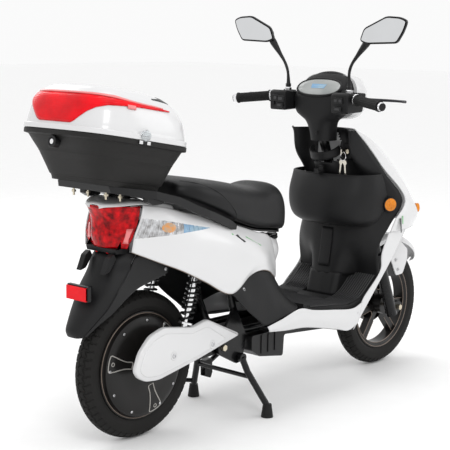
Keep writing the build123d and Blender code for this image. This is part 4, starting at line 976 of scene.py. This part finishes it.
for x, w in ((76, 80), (120, 96), (200, 95), (300, 94), (400, 100), (470, 94), (530, 80), (570, 54),
             (590, 34), (599, 14)):
    z = float(np.interp(x, SEAT[:, 0], SEAT[:, 1])) + 1.5
    pan_rows.append([(x, -w, z), (x, -w * 0.5, z - 0.5), (x, 0, z - 0.5), (x, w * 0.5, z - 0.5), (x, w, z)])
pan = panel("seat_pan_shell", pan_rows, SATIN, "seat", nu=50, nv=20, thick=6.0, flip=True)
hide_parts("seat_pan")
pipe = join("seat_piping", piping)
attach(pipe, "seat")

# ------------------------------------------------------------------ leg shield, pocket and apron
SHIELD = [
    (853, [(912, 0), (911, 36), (906, 56), (890, 88), (838, 112), (852, 131)]),
    (780, [(838, 0), (842, 36), (908, 54), (902, 94), (838, 118), (926, 142)]),
    (700, [(870, 0), (873, 42), (915, 62), (918, 98), (920, 130), (984, 164)]),
    (618, [(900, 0), (902, 46), (920, 80), (930, 110), (945, 138), (1032, 197)]),
    (540, [(894, 0), (896, 50), (912, 86), (924, 116), (940, 144), (990, 182)]),
    (468, [(888, 0), (890, 56), (905, 90), (918, 120), (936, 148), (950, 167)]),
    (362, [(868, 0), (870, 56), (956, 80), (957, 100), (957, 130), (958, 165)]),
]


def level_rows(levels, n):
    """Full rows, right to left, from half outlines at several heights."""
    rows = []
    for z, half in levels:
        straight_t = np.linspace(0, len(half) - 1, n)
        hx = np.interp(straight_t, range(len(half)), [p[0] for p in half])
        hy = np.interp(straight_t, range(len(half)), [p[1] for p in half])
        pts = [(hx[i], hy[i]) for i in range(n)]
        rows.append([(x, -y, z) for x, y in pts[::-1] if y > 0] + [(x, y, z) for x, y in pts])
    return rows


shield_rows = level_rows(SHIELD, 26)
shield_grid = np.array([catmull([row[j] for row in shield_rows], 60) for j in range(len(shield_rows[0]))])
shield_grid = shield_grid.transpose(1, 0, 2)
for _ in range(5):
    inner = shield_grid[:, 1:-1] * 0.5 + (shield_grid[:, :-2] + shield_grid[:, 2:]) * 0.25
    shield_grid[:, 1:-1] = inner
nu, nv = shield_grid.shape[:2]
faces = []
head = np.array([math.sin(RAKE), 0, -math.cos(RAKE)])
for f in grid_faces(nu, nv, flip=True):
    centre = np.mean([shield_grid.reshape(-1, 3)[i] for i in f], axis=0)
    rel = centre - np.array([858.0, 0, 812.0])
    s = rel @ head
    if s < 60 and np.linalg.norm(rel - head * s) < 53:
        continue
    faces.append(f)
shield = new_mesh("leg_shield_skin", shield_grid.reshape(-1, 3), faces, BLACK, "chassis",
                  60)
thicken(shield, 3.5, -1.0)
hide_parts("leg_shield")
for side in (-1, 1):
    tag = "right" if side < 0 else "left"
    lip = shield_grid[:, -1 if side > 0 else 0]
    tube("leg_shield_lip_" + tag, lip[::3], 3.0, SATIN, "chassis", n=80, sides=8)
TUNNEL = [(374, [(871, 0), (873, 48), (882, 60), (905, 61), (945, 61)]),
          (296, [(846, 0), (848, 48), (862, 60), (900, 61), (945, 61)])]
panel("floor_tunnel", level_rows(TUNNEL, 22), BLACK, "chassis", nu=8, nv=60, thick=3.0,
      flip=True)
panel("floor_tunnel_hatch", [[(889.5, -22, 520), (888.5, 0, 520), (889.5, 22, 520)],
                             [(884, -22, 470), (883, 0, 470), (884, 22, 470)],
                             [(869, -22, 390), (868, 0, 390), (869, 22, 390)]], BLACK, "chassis",
      nu=12, nv=12, thick=2.0, flip=True)
POCKET = [
    (702, [(843, 0), (848, 75), (872, 135), (915, 158), (962, 162)]),
    (690, [(835, 0), (841, 75), (868, 135), (913, 160), (965, 165)]),
    (640, [(815, 0), (822, 75), (855, 138), (905, 165), (976, 174)]),
    (585, [(808, 0), (815, 70), (850, 130), (905, 160), (966, 170)]),
    (556, [(822, 0), (829, 66), (858, 118), (902, 148), (948, 160)]),
    (538, [(858, 0), (862, 52), (880, 96), (904, 122), (926, 140)]),
    (534, [(886, 0), (888, 46), (898, 84), (908, 108), (922, 128)]),
]
pocket_rows = [[(x, -y, z) for x, y in half[::-1] if y > 0] + [(x, y, z) for x, y in half] for z,
               half in POCKET]
pocket = panel("storage_pocket_skin", pocket_rows, BLACK, "chassis", nu=40, nv=90,
               thick=3.5,
               flip=True)
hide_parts("storage_pocket")
tube("storage_pocket_rim", [(x + 1, y, z + 1) for x, y, z in pocket_rows[0]], 4.2, BLACK, "chassis",
     n=120, sides=10)
collar_loops = []
for s, rad in ((-4, 50), (-2, 53), (8, 53.3), (16, 53.6), (24, 54)):
    c = np.array([858.0, 0, 812.0]) + head * (s + 22)
    front = np.array([math.cos(RAKE), 0, math.sin(RAKE)])
    loop = []
    for a in np.linspace(math.radians(82), math.radians(278), 41):
        loop.append(c + rad * (math.cos(a) * front + math.sin(a) * BV))
    collar_loops.append(loop)
collar = new_mesh("steering_collar", [tuple(p) for lp in collar_loops for p in lp],
                  grid_faces(len(collar_loops), 41), BLACK, "chassis")
thicken(collar, 3.5, 0.0)

APRON = [
    (850, [(948, 0), (935, 60), (912, 85), (897, 95)]),
    (808, [(1046, 0), (1022, 70), (975, 98), (932, 114)]),
    (730, [(1146, 0), (1112, 80), (1045, 132), (974, 154)]),
    (618, [(1238, 0), (1200, 100), (1135, 158), (1040, 205)]),
    (551, [(1285, 0), (1245, 112), (1140, 168), (1000, 194)]),
    (512, [(1270, 0), (1224, 108), (1112, 170), (988, 185)]),
]
apron_rows = [[(x, -y, z) for x, y in half[::-1] if y > 0] + [(x, y, z) for x, y in half] for z,
              half in APRON]
apron = panel("front_apron_skin", apron_rows, WHITE, "chassis", nu=40, nv=80,
              thick=3.5, flip=False)
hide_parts("front_apron")
for side in (-1, 1):
    tag = "right" if side < 0 else "left"
    outer_edge = [(986, 185, 512), (958, 178, 440), (960, 174, 388), (858, 174, 292), (840, 174, 238)]
    lower_edge = [(1104, 171, 514), (1062, 174, 466), (1017, 174, 414), (933, 174, 327), (818, 173, 206)]
    rows = [outer_edge, lower_edge]
    if side < 0:
        rows = [flip_y(q) for q in rows]
    panel("apron_skirt_" + tag, rows, WHITE, "chassis", nu=12, nv=50, thick=3.0,
          flip=side > 0)
    trim_top = [(382, 174, 289), (450, 174, 302), (536, 174, 321), (600, 174, 307), (700, 174, 292),
                (812, 174, 280),
                (858, 174, 293)]
    trim_mid = [(386, 176, 280), (460, 177, 284), (540, 177, 290), (620, 177, 272), (720, 177, 252),
                (800, 176, 240),
                (848, 174, 262)]
    trim_low = [(392, 172, 273), (470, 172, 264), (558, 172, 258), (640, 172, 243), (730, 172, 223),
                (790, 172, 210),
                (838, 173, 226)]
    rows = [trim_top, trim_mid, trim_low]
    if side < 0:
        rows = [flip_y(q) for q in rows]
    obj = panel("floor_trim_skin_" + tag, rows, WHITE, "chassis", nu=16, nv=60, thick=3.0,
                flip=side > 0)
    if side < 0:
        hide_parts("floor_trims")
    tray = [(x, y - 5, z) for x, y, z in trim_low]
    under = [(x, y - 46, z + 4) for x, y, z in trim_low]
    rows = [trim_low, tray, under]
    if side < 0:
        rows = [flip_y(q) for q in rows]
    panel("floor_trim_under_" + tag, rows, BLACK, "chassis", nu=6, nv=40, thick=2.0,
          flip=side > 0)
    bolt("trim_bolt_rear_" + tag, (402, side * 174, 283), (0, side, 0), 5, 3.5, STEEL, "chassis")
    bolt("trim_bolt_front_" + tag, (832, side * 175.5, 262), (0, side, 0), 4, 3, STEEL, "chassis")
    bolt("shield_bolt_" + tag, (957, side * 140, 420), (-1, 0, 0), 5, 3, SATIN, "chassis")
    amber_c = np.array([984.0, side * 182.0, 606.0])
    nrm = np.array([-0.45, side * 0.9, 0.0])
    nrm /= np.linalg.norm(nrm)
    uu = np.cross(nrm, [0, 0, 1.0])
    for name, r0, h0, mat in (("reflector_ring_", 24.5, 4.0, SATIN),):
        loops = []
        for rr, hh in ((r0 - 6, -3), (r0, -3), (r0, h0), (r0 - 1, h0 + 4), (r0 - 4, h0 + 5)):
            loops.append([tuple(amber_c + nrm * hh + rr * (math.cos(a) * uu + math.sin(a) * UP))
                          for a in turn(40)])
        rings(name + tag, loops, mat, "chassis", cap=False)
    seg = []
    for k in range(6):
        a = math.radians(15 + 60 * k)
        d = math.cos(a) * uu + math.sin(a) * UP
        seg.append(tube("s", [tuple(amber_c + nrm * 9.2 + d * 1.0),
                              tuple(amber_c + nrm * 9.2 + d * 19.5)], 0.9,
                        AMBER, None, n=4, sides=6, smooth_line=False))
    seg.append(tube("s", [tuple(amber_c + nrm * 9.0 + 13 * (math.cos(a) * uu + math.sin(a) * UP))
                          for a in turn(24)], 0.6, AMBER, None, n=49, sides=6,
                    closed=True))
    obj = join("reflector_facets_" + tag, seg)
    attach(obj, "chassis")
    plate("shield_stripe_dark_" + tag, [(1026, side * 196, 556), (1040, side * 193, 506),
                                        (1048, side * 191, 506),
                                        (1036, side * 195, 556)], (0.25, side, 0), 1.0, DARKLINE, "chassis")
    plate("shield_stripe_green_" + tag, [(1044, side * 194.6, 562), (1049, side * 192.6, 534),
                                         (1053, side * 191.6, 534),
                                         (1049, side * 193.6, 562)], (0.25, side, 0), 1.0, GREEN, "chassis")

# ------------------------------------------------------------------ key and ring
key_parts = []
ring_pts = [(872, -69 + 12 * math.cos(a), 765 + 14 * math.sin(a)) for a in turn(24)]
key_parts.append(tube("k", ring_pts, 1.2, CHROME, None, n=49, sides=6, closed=True))
for dy, lean, z0 in ((-8, -5, 752), (7, 6, 753)):
    out = rounded([(-6, 0), (6, 0), (8, -10), (3, -16), (3, -48), (0, -52), (-3, -48), (-3, -16),
                   (-8, -10)], 3)
    pts3 = [(872 + dy * 0.15, -69 + dy + x + lean * (-z / 50.0), z0 + z) for x, z in out]
    key_parts.append(plate("k", pts3, (1, 0, 0), 1.8, BLADE, None, 0.4))
keys = join("key_bunch", key_parts)
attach(keys, "chassis")
loops = []
for x, r in ((908, 30), (896, 29), (893, 26), (892, 13), (900, 12)):
    loops.append([(x, -69 + r * math.cos(a), 779 + r * math.sin(a)) for a in turn(40)])
rings("key_switch_housing", loops, BLACK, "chassis", cap=False)

# ------------------------------------------------------------------ handlebar covers, pods and display
COLUMN = [  # height, rear, front, half width, power
    (815, 812, 902, 40, 2.2), (835, 810, 898, 42, 2.3), (860, 806, 892, 46, 2.5), (880, 802, 888, 56, 2.6),
    (893, 800, 886, 74, 3.0), (905, 799, 884, 88, 3.6), (925, 799, 884, 97, 4.2), (945, 799, 884, 99, 4.4),
    (962, 802, 884, 98, 4.4), (976, 815, 884, 95, 4.2), (990, 829, 884, 92, 3.8), (1004, 843, 884, 88, 3.4),
    (1016, 853, 884, 80, 3.0), (1025, 862, 884, 66, 2.6), (1031, 870, 883, 44, 2.3),
    (1034, 875, 882, 20, 2.0),
]
column = catmull(COLUMN, 54)
loops = []
for z, rear, front_x, w, power in column:
    cx, hx = (rear + front_x) / 2, (front_x - rear) / 2
    loop = []
    for a in turn(72):
        c, s = math.cos(a), math.sin(a)
        loop.append((cx + hx * math.copysign(abs(c) ** (2 / power), c),
                     w * math.copysign(abs(s) ** (2 / power), s), z))
    loops.append(loop)
cover = rings("handlebar_cover_skin", loops, BLACK, "steering", smooth=50)
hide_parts("handlebar_cover_rear")
DIAL_C = np.array([826.0, 0, 989.0])
DIAL_N = np.array([-0.72, 0, 0.69])
DIAL_N /= np.linalg.norm(DIAL_N)
DIAL_U = np.array([0, 1.0, 0])
DIAL_V = np.cross(DIAL_N, DIAL_U)


def dial_ring(a_half, b_half, lift, n=64, power=2.3):
    pts = []
    for a in np.linspace(0, 2 * math.pi, n + 1)[:-1]:
        c, s = math.cos(a), math.sin(a)
        pts.append(tuple(DIAL_C + DIAL_N * lift + DIAL_U * a_half * math.copysign(abs(c) ** (2 / power), c)
                         + DIAL_V * b_half * math.copysign(abs(s) ** (2 / power), s)))
    return pts


glass = rings("display_pane", [dial_ring(84, 33, 0.0), dial_ring(84, 33, 2.5), dial_ring(80, 30, 4.2),
                               dial_ring(60, 22, 5.6), dial_ring(30, 11, 6.2), dial_ring(3, 1, 6.4)], GLASS,
              "steering", smooth=60)
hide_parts("display")
rings("display_bezel", [dial_ring(91, 40, -3), dial_ring(91, 40, 2.5), dial_ring(88, 37, 4.5),
                        dial_ring(84.5, 33.5, 3.0),
                        dial_ring(84.5, 33.5, -3)], BLACK, "steering", cap=False)
lcd = [tuple(DIAL_C + DIAL_N * 6.5 + DIAL_U * u0 + DIAL_V * v0) for u0,
       v0 in ((-30, -9), (30, -9), (26, 9), (-26, 9))]
plate("display_window", lcd, tuple(DIAL_N), 0.6, SMOKE, "steering")
visor_lo = [(846, -96, 983), (862, -84, 1010), (876, -50, 1030), (880, 0, 1037), (876, 50, 1030),
            (862, 84, 1010),
            (846, 96, 983)]
visor_hi = [(882, -100, 985), (886, -86, 1016), (888, -50, 1034), (890, 0, 1041), (888, 50, 1034),
            (886, 86, 1016),
            (882, 100, 985)]
panel("display_visor", [visor_lo, visor_hi], BLACK, "steering", nu=6, nv=60, thick=3.5,
      flip=True)
bolt("column_bolt", (806, -8, 842), (-1, 0, 0), 5, 3, SATIN, "steering")

nose_loops = []
for x, wy, z0, z1, power in ((882.5, 112, 886, 1034, 3.2), (905, 113, 883, 1034, 3.2),
                             (930, 110, 882, 1031, 3.1),
                             (955, 98, 890, 1018, 2.9), (975, 80, 902, 1002, 2.7), (988, 58, 918, 986, 2.5),
                             (993, 34, 932, 970, 2.3), (994, 4, 948, 954, 2.0)):
    cz, hz = (z0 + z1) / 2, (z1 - z0) / 2
    nose_loops.append([(x, wy * squarish(math.cos(a), 2 / power),
                        cz + hz * squarish(math.sin(a), 2 / power))
                       for a in turn(64)])
front = rings("headlamp_nacelle", nose_loops, WHITE, "steering", smooth=50)
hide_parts("handlebar_cover_front")
lens_loops = []
for x, wy, hz, power in ((952, 84, 37, 2.8), (966, 78, 35, 2.7), (980, 66, 30, 2.6), (990, 46, 22, 2.4),
                         (996, 22, 11, 2.2),
                         (997, 3, 2, 2.0)):
    lens_loops.append([(x, wy * squarish(math.cos(a), 2 / power),
                        951 + hz * squarish(math.sin(a), 2 / power))
                       for a in turn(64)])
hl = rings("headlamp_glass", lens_loops, HEADLIGHT, "steering", smooth=50)
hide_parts("headlamp_lens")
for side in (-1, 1):
    tag = "right" if side < 0 else "left"
    outline = rounded([(767, 912), (850, 915), (857, 950), (842, 973), (775, 978), (764, 972)], 6)
    pod = side_form("switch_pod_" + tag, outline,
                    [(side * 96, 3), (side * 98, 1), (side * 101, 0), (side * 156, 0),
                                                   (side * 159, 1), (side * 161, 3)], BLACK, "steering")
    fix_normals(pod)
    if side < 0:
        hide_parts("switch_pods")
    perch = side_form("lever_perch_" + tag, rounded([(830, 932), (864, 936), (868, 975), (830, 978)], 6),
                      [(side * 129, 2), (side * 131, 0), (side * 157, 0), (side * 159, 2)], BLACK,
                      "steering")
    fix_normals(perch)
    rings("mirror_boss_" + tag, [[(820 + r * math.cos(a), side * 127 + r * math.sin(a), z)
                                  for a in turn(6)] for z, r in
                                 ((968, 11), (984, 11), (986, 9))], STEEL, "steering")
    rockers = []
    spots = ((112, 950, 15, 11), (134, 952, 11, 11), (120, 928, 14, 8)) if side > 0 else (
        (118, 953, 10, 10), (136, 953, 9, 10), (124, 926, 16, 8))
    for y, z, hy, hz in spots:
        if side > 0 and z == 928:
            y = 116
        pts3 = [(763.5, side * y + q * hy, z + w * hz) for q,
                w in rounded([(-1, -1), (1, -1), (1, 1), (-1, 1)], 0.3)]
        rockers.append(plate("r", pts3, (-1, 0, 0), 2.6, SATIN, None, 0.8))
        pts3 = [(762.2, side * y + q * hy * 0.55, z + w * hz * 0.4) for q,
                w in ((-1, -1), (1, -1), (1, 1), (-1, 1))]
        rockers.append(plate("r", pts3, (-1, 0, 0), 2.4, DARKLINE, None, 0.5))
    obj = join("switch_rockers_" + tag, rockers)
    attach(obj, "steering")

# ------------------------------------------------------------------ grips, bar ends, levers
G0, G1 = np.array([793.0, 181.0, 956.0]), np.array([755.0, 295.0, 944.0])
for side in (-1, 1):
    tag = "right" if side < 0 else "left"
    a0, a1 = G0 * [1, side, 1], G1 * [1, side, 1]
    gd = (a1 - a0) / np.linalg.norm(a1 - a0)
    length = float(np.linalg.norm(a1 - a0))
    gu = np.cross(gd, [0, 0, 1.0])
    gu /= np.linalg.norm(gu)
    gw = np.cross(gd, gu)

    def turned(name, profile, mat, body, knurl=0, flute=0.0):
        loops = []
        for t, r in profile:
            loop = []
            for k, a in enumerate(turn(96)):
                rr = r * (1 + (flute if knurl and (k * knurl // 96) % 2 == 0 else 0.0))
                loop.append(tuple(a0 + gd * t + rr * (math.cos(a) * gu + math.sin(a) * gw)))
            loops.append(loop)
        return rings(name, loops, mat, body, smooth=30)

    prof = [(0.2, 12), (0.2, 19.5), (3.6, 19.5), (5, 16.6)]
    t = 7.0
    while t < length - 12:
        prof += [(t, 15.2), (t + 0.8, 16.2), (t + 3.2, 16.2), (t + 4.0, 15.2)]
        t += 5.0
    prof += [(length - 8, 16), (length - 6, 17.8), (length - 1, 17.8), (length - 0.3, 12)]
    obj = turned("grip_rubber_" + tag, prof, SOFT, "steering" if side > 0 else "throttle",
                 knurl=32,
                 flute=-0.035)
    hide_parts("grip_left" if side > 0 else "throttle_grip")
    turned("bar_end_" + tag, [(length + 1.4, 11), (length + 1.4, 13.6), (length + 4, 14), (length + 11, 14),
                              (length + 13.5, 12), (length + 14, 8), (length + 13.6, 1)], CHROME,
                              "steering",
           knurl=48, flute=-0.05)
    turned("grip_collar_" + tag, [(-9, 12), (-9, 18.5), (-7.5, 19.2), (-2, 19.2), (-0.8, 18.2),
                                  (-0.8, 12)], CHROME,
           "steering", knurl=48, flute=-0.06)
    loops = []
    for f, (x, y, half_x, half_z) in enumerate(((850, 139, 7, 5.5), (856, 160, 7.5, 5.5),
                                                (861, 192, 6.5, 5),
                                                (868, 235, 6, 4.6), (869, 262, 5.6, 4.4),
                                                (862, 296, 5.4, 4.2),
                                                (854, 318, 5.6, 4.6), (850, 325, 5.0, 4.2))):
        loops.append([(x + half_x * math.cos(a), side * y, 956 + half_z * math.sin(a)) for a in
                      turn(16)])
    lever_loops = [list(map(tuple, lp)) for lp in
                   np.array([catmull([lp[j] for lp in loops], 40) for j in range(16)]).transpose(1, 0, 2)]
    obj = fix_normals(rings("lever_blade_" + tag, lever_loops, ALLOY, "lever_" + tag,
                            smooth=60))
    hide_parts("brake_lever_" + tag)

# ------------------------------------------------------------------ mirrors
for side in (-1, 1):
    tag = "right" if side < 0 else "left"
    body = "mirror_l" if side > 0 else "mirror_r"
    shape = [(176, 1142), (206, 1132), (320, 1136), (344, 1172), (357, 1206), (330, 1217), (278, 1220),
             (192, 1182)]
    outline = rounded(shape, 12, 5)
    steps = ((800.6, 3), (799.2, 1.5), (800.6, 0), (806, 0), (813, 5), (819, 14), (823, 26), (824, 32))
    loops = []
    for x, dist in steps:
        loops.append([(x, side * y, z) for y, z in inset(outline, dist)])
    shell = fix_normals(rings("mirror_shell_" + tag, loops, SATIN, body, smooth=45))
    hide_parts("mirror_" + tag)
    pane = [(799.3, side * y, z) for y, z in inset(outline, 5.5)]
    plate("mirror_pane_" + tag, pane, (-1, 0, 0), 1.2, MIRROR, body)
    tube("mirror_stem_" + tag, [(820, side * 127, 986), (820, side * 127, 1004), (816, side * 128, 1040),
                                (814, side * 138, 1066), (814, side * 165, 1101), (815, side * 186, 1126),
                                (816, side * 206, 1150)],
         [8, 6.2, 4.6, 5.0, 4.8, 6.5, 9.5, 12, 11], SATIN, body, n=44, sides=14)
    rings("mirror_nut_" + tag, [[(820 + r * math.cos(a), side * 127 + r * math.sin(a), z) for a in
                                 turn(6)] for z, r in
                                ((987.5, 8), (988, 9.2), (997, 9.2), (998, 8))], SATIN, body)

# ------------------------------------------------------------------ front fender
fender_rows = []
for deg, half, drop in ((33.5, 4, 0), (36, 22, 1), (40, 36, 2), (48, 50, 4), (58, 56, 6), (75, 56, 6),
                        (95, 56, 6),
                        (115, 54, 6), (128, 48, 5), (131.5, 42, 4)):
    a = math.radians(deg)
    row = []
    for f, r in ((-1, 228 + (6 - drop)), (-0.97, 238), (-0.72, 248), (-0.3, 252), (0, 252.6),
                 (0.3, 252), (0.72, 248),
                 (0.97, 238), (1, 228 + (6 - drop))):
        row.append((FRONT_X + r * math.cos(a), half * f, AXLE_Z + r * math.sin(a)))
    fender_rows.append(row)
ff = panel("front_fender_skin", fender_rows, WHITE, "lower_fork", nu=60, nv=40,
           thick=3.0, flip=True)
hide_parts("front_fender")
for side in (-1, 1):
    tag = "right" if side < 0 else "left"
    outline = rounded([(1150, 430), (1160, 384), (1196, 321), (1236, 323), (1262, 372), (1262, 408),
                       (1212, 446)], 8)
    obj = side_form("front_fender_bracket_" + tag, outline,
                    [(side * 57, 1), (side * 69, 0), (side * 71.5, 0),
                                                             (side * 72.5, 1.2)], WHITE, "lower_fork")
    fix_normals(obj)
    for k, (x, z) in enumerate(((1190, 378), (1204, 342))):
        bolt("fender_bolt_%s_%d" % (tag, k), (x, side * 72, z), (0, side, 0), 6, 4.5, STEEL, "lower_fork")
# ------------------------------------------------------------------ rear fender
def arc_row(z, xc, xe, w):
    return [(xe, -w, z), ((2 * xc + xe) / 3 - 2, -w * 0.62, z + 2), (xc - 1, 0, z + 3),
            ((2 * xc + xe) / 3 - 2, w * 0.62, z + 2), (xe, w, z)]


back_rows = [[(-70, -78, 556), (-92, -50, 560), (-100, 0, 561), (-92, 50, 560), (-70, 78, 556)],
             arc_row(536, -132, -84, 77), arc_row(505, -146, -98, 76), arc_row(462, -168, -134, 76),
             arc_row(412, -200, -167, 67), arc_row(372, -226, -199, 50), arc_row(346, -239, -219, 37),
             [(-224, -30, 336), (-232, -18, 335), (-234, 0, 335), (-232, 18, 335), (-224, 30, 336)]]
rf = panel("rear_fender_back", back_rows, BLACK, "chassis", nu=44, nv=36, thick=4.0,
           flip=True)
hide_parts("rear_fender")
for side in (-1, 1):
    tag = "right" if side < 0 else "left"
    upper = [(-223, 33, 340), (-199, 51, 372), (-167, 68, 412), (-134, 77, 462), (-98, 77, 505),
             (-68, 80, 553),
             (-20, 88, 536), (38, 96, 513)]
    lower = [(-216, 35, 338), (-192, 52, 366), (-150, 70, 400), (-112, 78, 432), (-66, 80, 458),
             (-30, 84, 470),
             (4, 90, 480), (34, 96, 492)]
    rows = [upper, lower]
    if side < 0:
        rows = [flip_y(q) for q in rows]
    panel("rear_fender_flank_" + tag, rows, SATIN, "chassis", nu=14, nv=70, thick=3.5,
          flip=side > 0)
    tube("rear_fender_crease_" + tag, [(x + 1.5, side * (abs(y) - 1.5), z) for x, y, z in upper[:6]],
         3.4, SATIN,
         "chassis", n=60, sides=8)
    wedge = [(-134, 560), (-152, 548), (-170, 506), (-150, 512), (-126, 545)]
    fix_normals(side_form("plate_bracket_" + tag, rounded(wedge, 2),
                          [(side * 39, 1), (side * 40, 0), (side * 58, 0),
                                                                      (side * 59, 1)], BLACK, "chassis"))
    bolt("fender_side_bolt_" + tag, (26, side * 97, 504), (0, side, 0), 5, 3.5, STEEL, "chassis")
    bolt("lamp_screw_" + tag, (-124, side * 22, 560), (-1, 0, 0.2), 4.5, 4, RED, "chassis")
block = side_form("fender_reflector_lens", rounded([(-221, 437), (-212, 437), (-212, 474), (-221, 474)], 2),
                  [(-40, 1), (-39, 0), (39, 0), (40, 1)], RED_DARK, "chassis")
fix_normals(block)
rim_r = side_form("fender_reflector_case", rounded([(-216, 434), (-203, 434), (-203, 477), (-216, 477)], 2),
                  [(-43, 1), (-42, 0), (42, 0), (43, 1)], SATIN, "chassis")
fix_normals(rim_r)
stalk = side_form("fender_reflector_stalk",
                  rounded([(-204, 446), (-170, 444), (-158, 470), (-204, 466)], 2),
                  [(-9, 1), (-8, 0), (8, 0), (9, 1)], SATIN, "chassis")
fix_normals(stalk)
lamp_back = side_form("lamp_base", rounded([(-128, 558), (-132, 572), (-100, 576), (-84, 640),
                                            (-78, 640), (-78, 556)], 3),
                      [(-62, 2), (-60, 0), (60, 0), (62, 2)], BLACK, "chassis")
fix_normals(lamp_back)

# ------------------------------------------------------------------ swingarm cover
ARM = rounded([(-104, 232), (-90, 210), (-62, 194), (-10, 189), (150, 220), (326, 262), (322, 272),
               (188, 334),
               (128, 320), (10, 339), (-44, 322), (-84, 282)], 14, 5)
arm = side_form("swingarm_cover_shell", ARM,
        [(-99, 0), (-104, 0), (-108, 0.6), (-110.6, 2.0), (-112, 4.4)], WHITE, "rear_arm",
        smooth=60)
fix_normals(arm)
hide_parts("swingarm_cover")
RELIEF = rounded([(-88, 228), (-62, 207), (-14, 203), (140, 230), (268, 262), (186, 314), (124, 302),
                  (14, 321),
                  (-36, 307), (-72, 272)], 14, 5)
fix_normals(side_form("swingarm_cover_relief", RELIEF,
                      [(-110, 0), (-112.4, 0), (-113.4, 0.8), (-113.8, 2.6)], WHITE,
                      "rear_arm", smooth=60))
for k, (x, z) in enumerate(((46, 250), (207, 256))):
    loops = []
    for y, r in ((-112, 14), (-115, 12.5), (-114.4, 9)):
        loops.append([(x + r * math.cos(a), y, z + r * math.sin(a)) for a in turn(32)])
    fix_normals(rings("arm_cover_dish_%d" % k, loops, WHITE, "rear_arm"))
    bolt("arm_cover_bolt_%d" % k, (x, -114, z), (0, -1, 0), 7, 3, STEEL, "rear_arm")

# ------------------------------------------------------------------ floor mat
# the ribs take the lighter rib colour: painted highlight on the raised ribs of the mat
ribs = []
for y in np.arange(-156, 157, 9.0):
    line = [(606, y, 314.2), (700, y, 304), (800, y, 294.4)]
    if abs(y) >= 66:
        line += [(866, y, 307.2), (946, y, 368.5)]
    ribs.append(tube("rib", [tuple(map(float, q)) for q in line], 2.4, MAT_RIB_PAINTED_HIGHLIGHT, None, n=26, sides=6))
mat_obj = join("floor_mat_ribs", ribs)
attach(mat_obj, "chassis")

# ------------------------------------------------------------------ camera, light and stage
yaw, pitch, roll = math.radians(42.5786), math.radians(-8.861), math.radians(0.715)
d = Vector((math.cos(pitch) * math.cos(yaw), math.cos(pitch) * math.sin(yaw), math.sin(pitch)))
r = Vector((math.sin(yaw), -math.cos(yaw), 0))
u = r.cross(d)
r2 = math.cos(roll) * r + math.sin(roll) * u
u2 = -math.sin(roll) * r + math.cos(roll) * u
cam = bpy.data.objects.new("camera", bpy.data.cameras.new("camera"))
bpy.context.scene.collection.objects.link(cam)
cam.matrix_world = Matrix(((r2.x, u2.x, -d.x, -2.95516), (r2.y, u2.y, -d.y, -2.56135),
                           (r2.z, u2.z, -d.z, 1.17052),
                           (0, 0, 0, 1)))
cam.data.sensor_width = 36.0
cam.data.lens = 99.98
cam.data.clip_end = 60
bpy.context.scene.camera = cam


def area(name, place, target, size, power):
    light = bpy.data.lights.new(name, "AREA")
    light.size = size
    light.energy = power
    obj = bpy.data.objects.new(name, light)
    bpy.context.scene.collection.objects.link(obj)
    obj.location = place
    obj.rotation_euler = (Vector(target) - Vector(place)).to_track_quat("-Z", "Y").to_euler()


area("key", (-2.4, -3.0, 3.2), (0, 0, 0.5), 1.4, 42)
area("fill", (2.8, -2.6, 2.2), (0, 0, 0.5), 1.8, 16)
area("back", (0.5, 3.4, 2.8), (0, 0, 0.6), 2.0, 24)
area("top", (0, 0, 4.0), (0, 0, 0.5), 2.0, 24)
bpy.context.scene.view_settings.view_transform = "Standard"
world = bpy.data.worlds.new("studio")
world.use_nodes = True
world.node_tree.nodes["Background"].inputs["Color"].default_value = (1, 1, 1, 1)
world.node_tree.nodes["Background"].inputs["Strength"].default_value = 0.96
bpy.context.scene.world = world
floor_mat = material("floor", (0.97, 0.97, 0.97), 0.8, bump=0.01, scale=20, var=0.01)
floor_mesh = bpy.data.meshes.new("floor")
floor_mesh.from_pydata([(-30, -30, -0.001), (30, -30, -0.001), (30, 30, -0.001), (-30, 30, -0.001)], [],
                       [(0, 1, 2, 3)])
floor = bpy.data.objects.new("floor", floor_mesh)
floor.data.materials.append(floor_mat)
bpy.context.scene.collection.objects.link(floor)
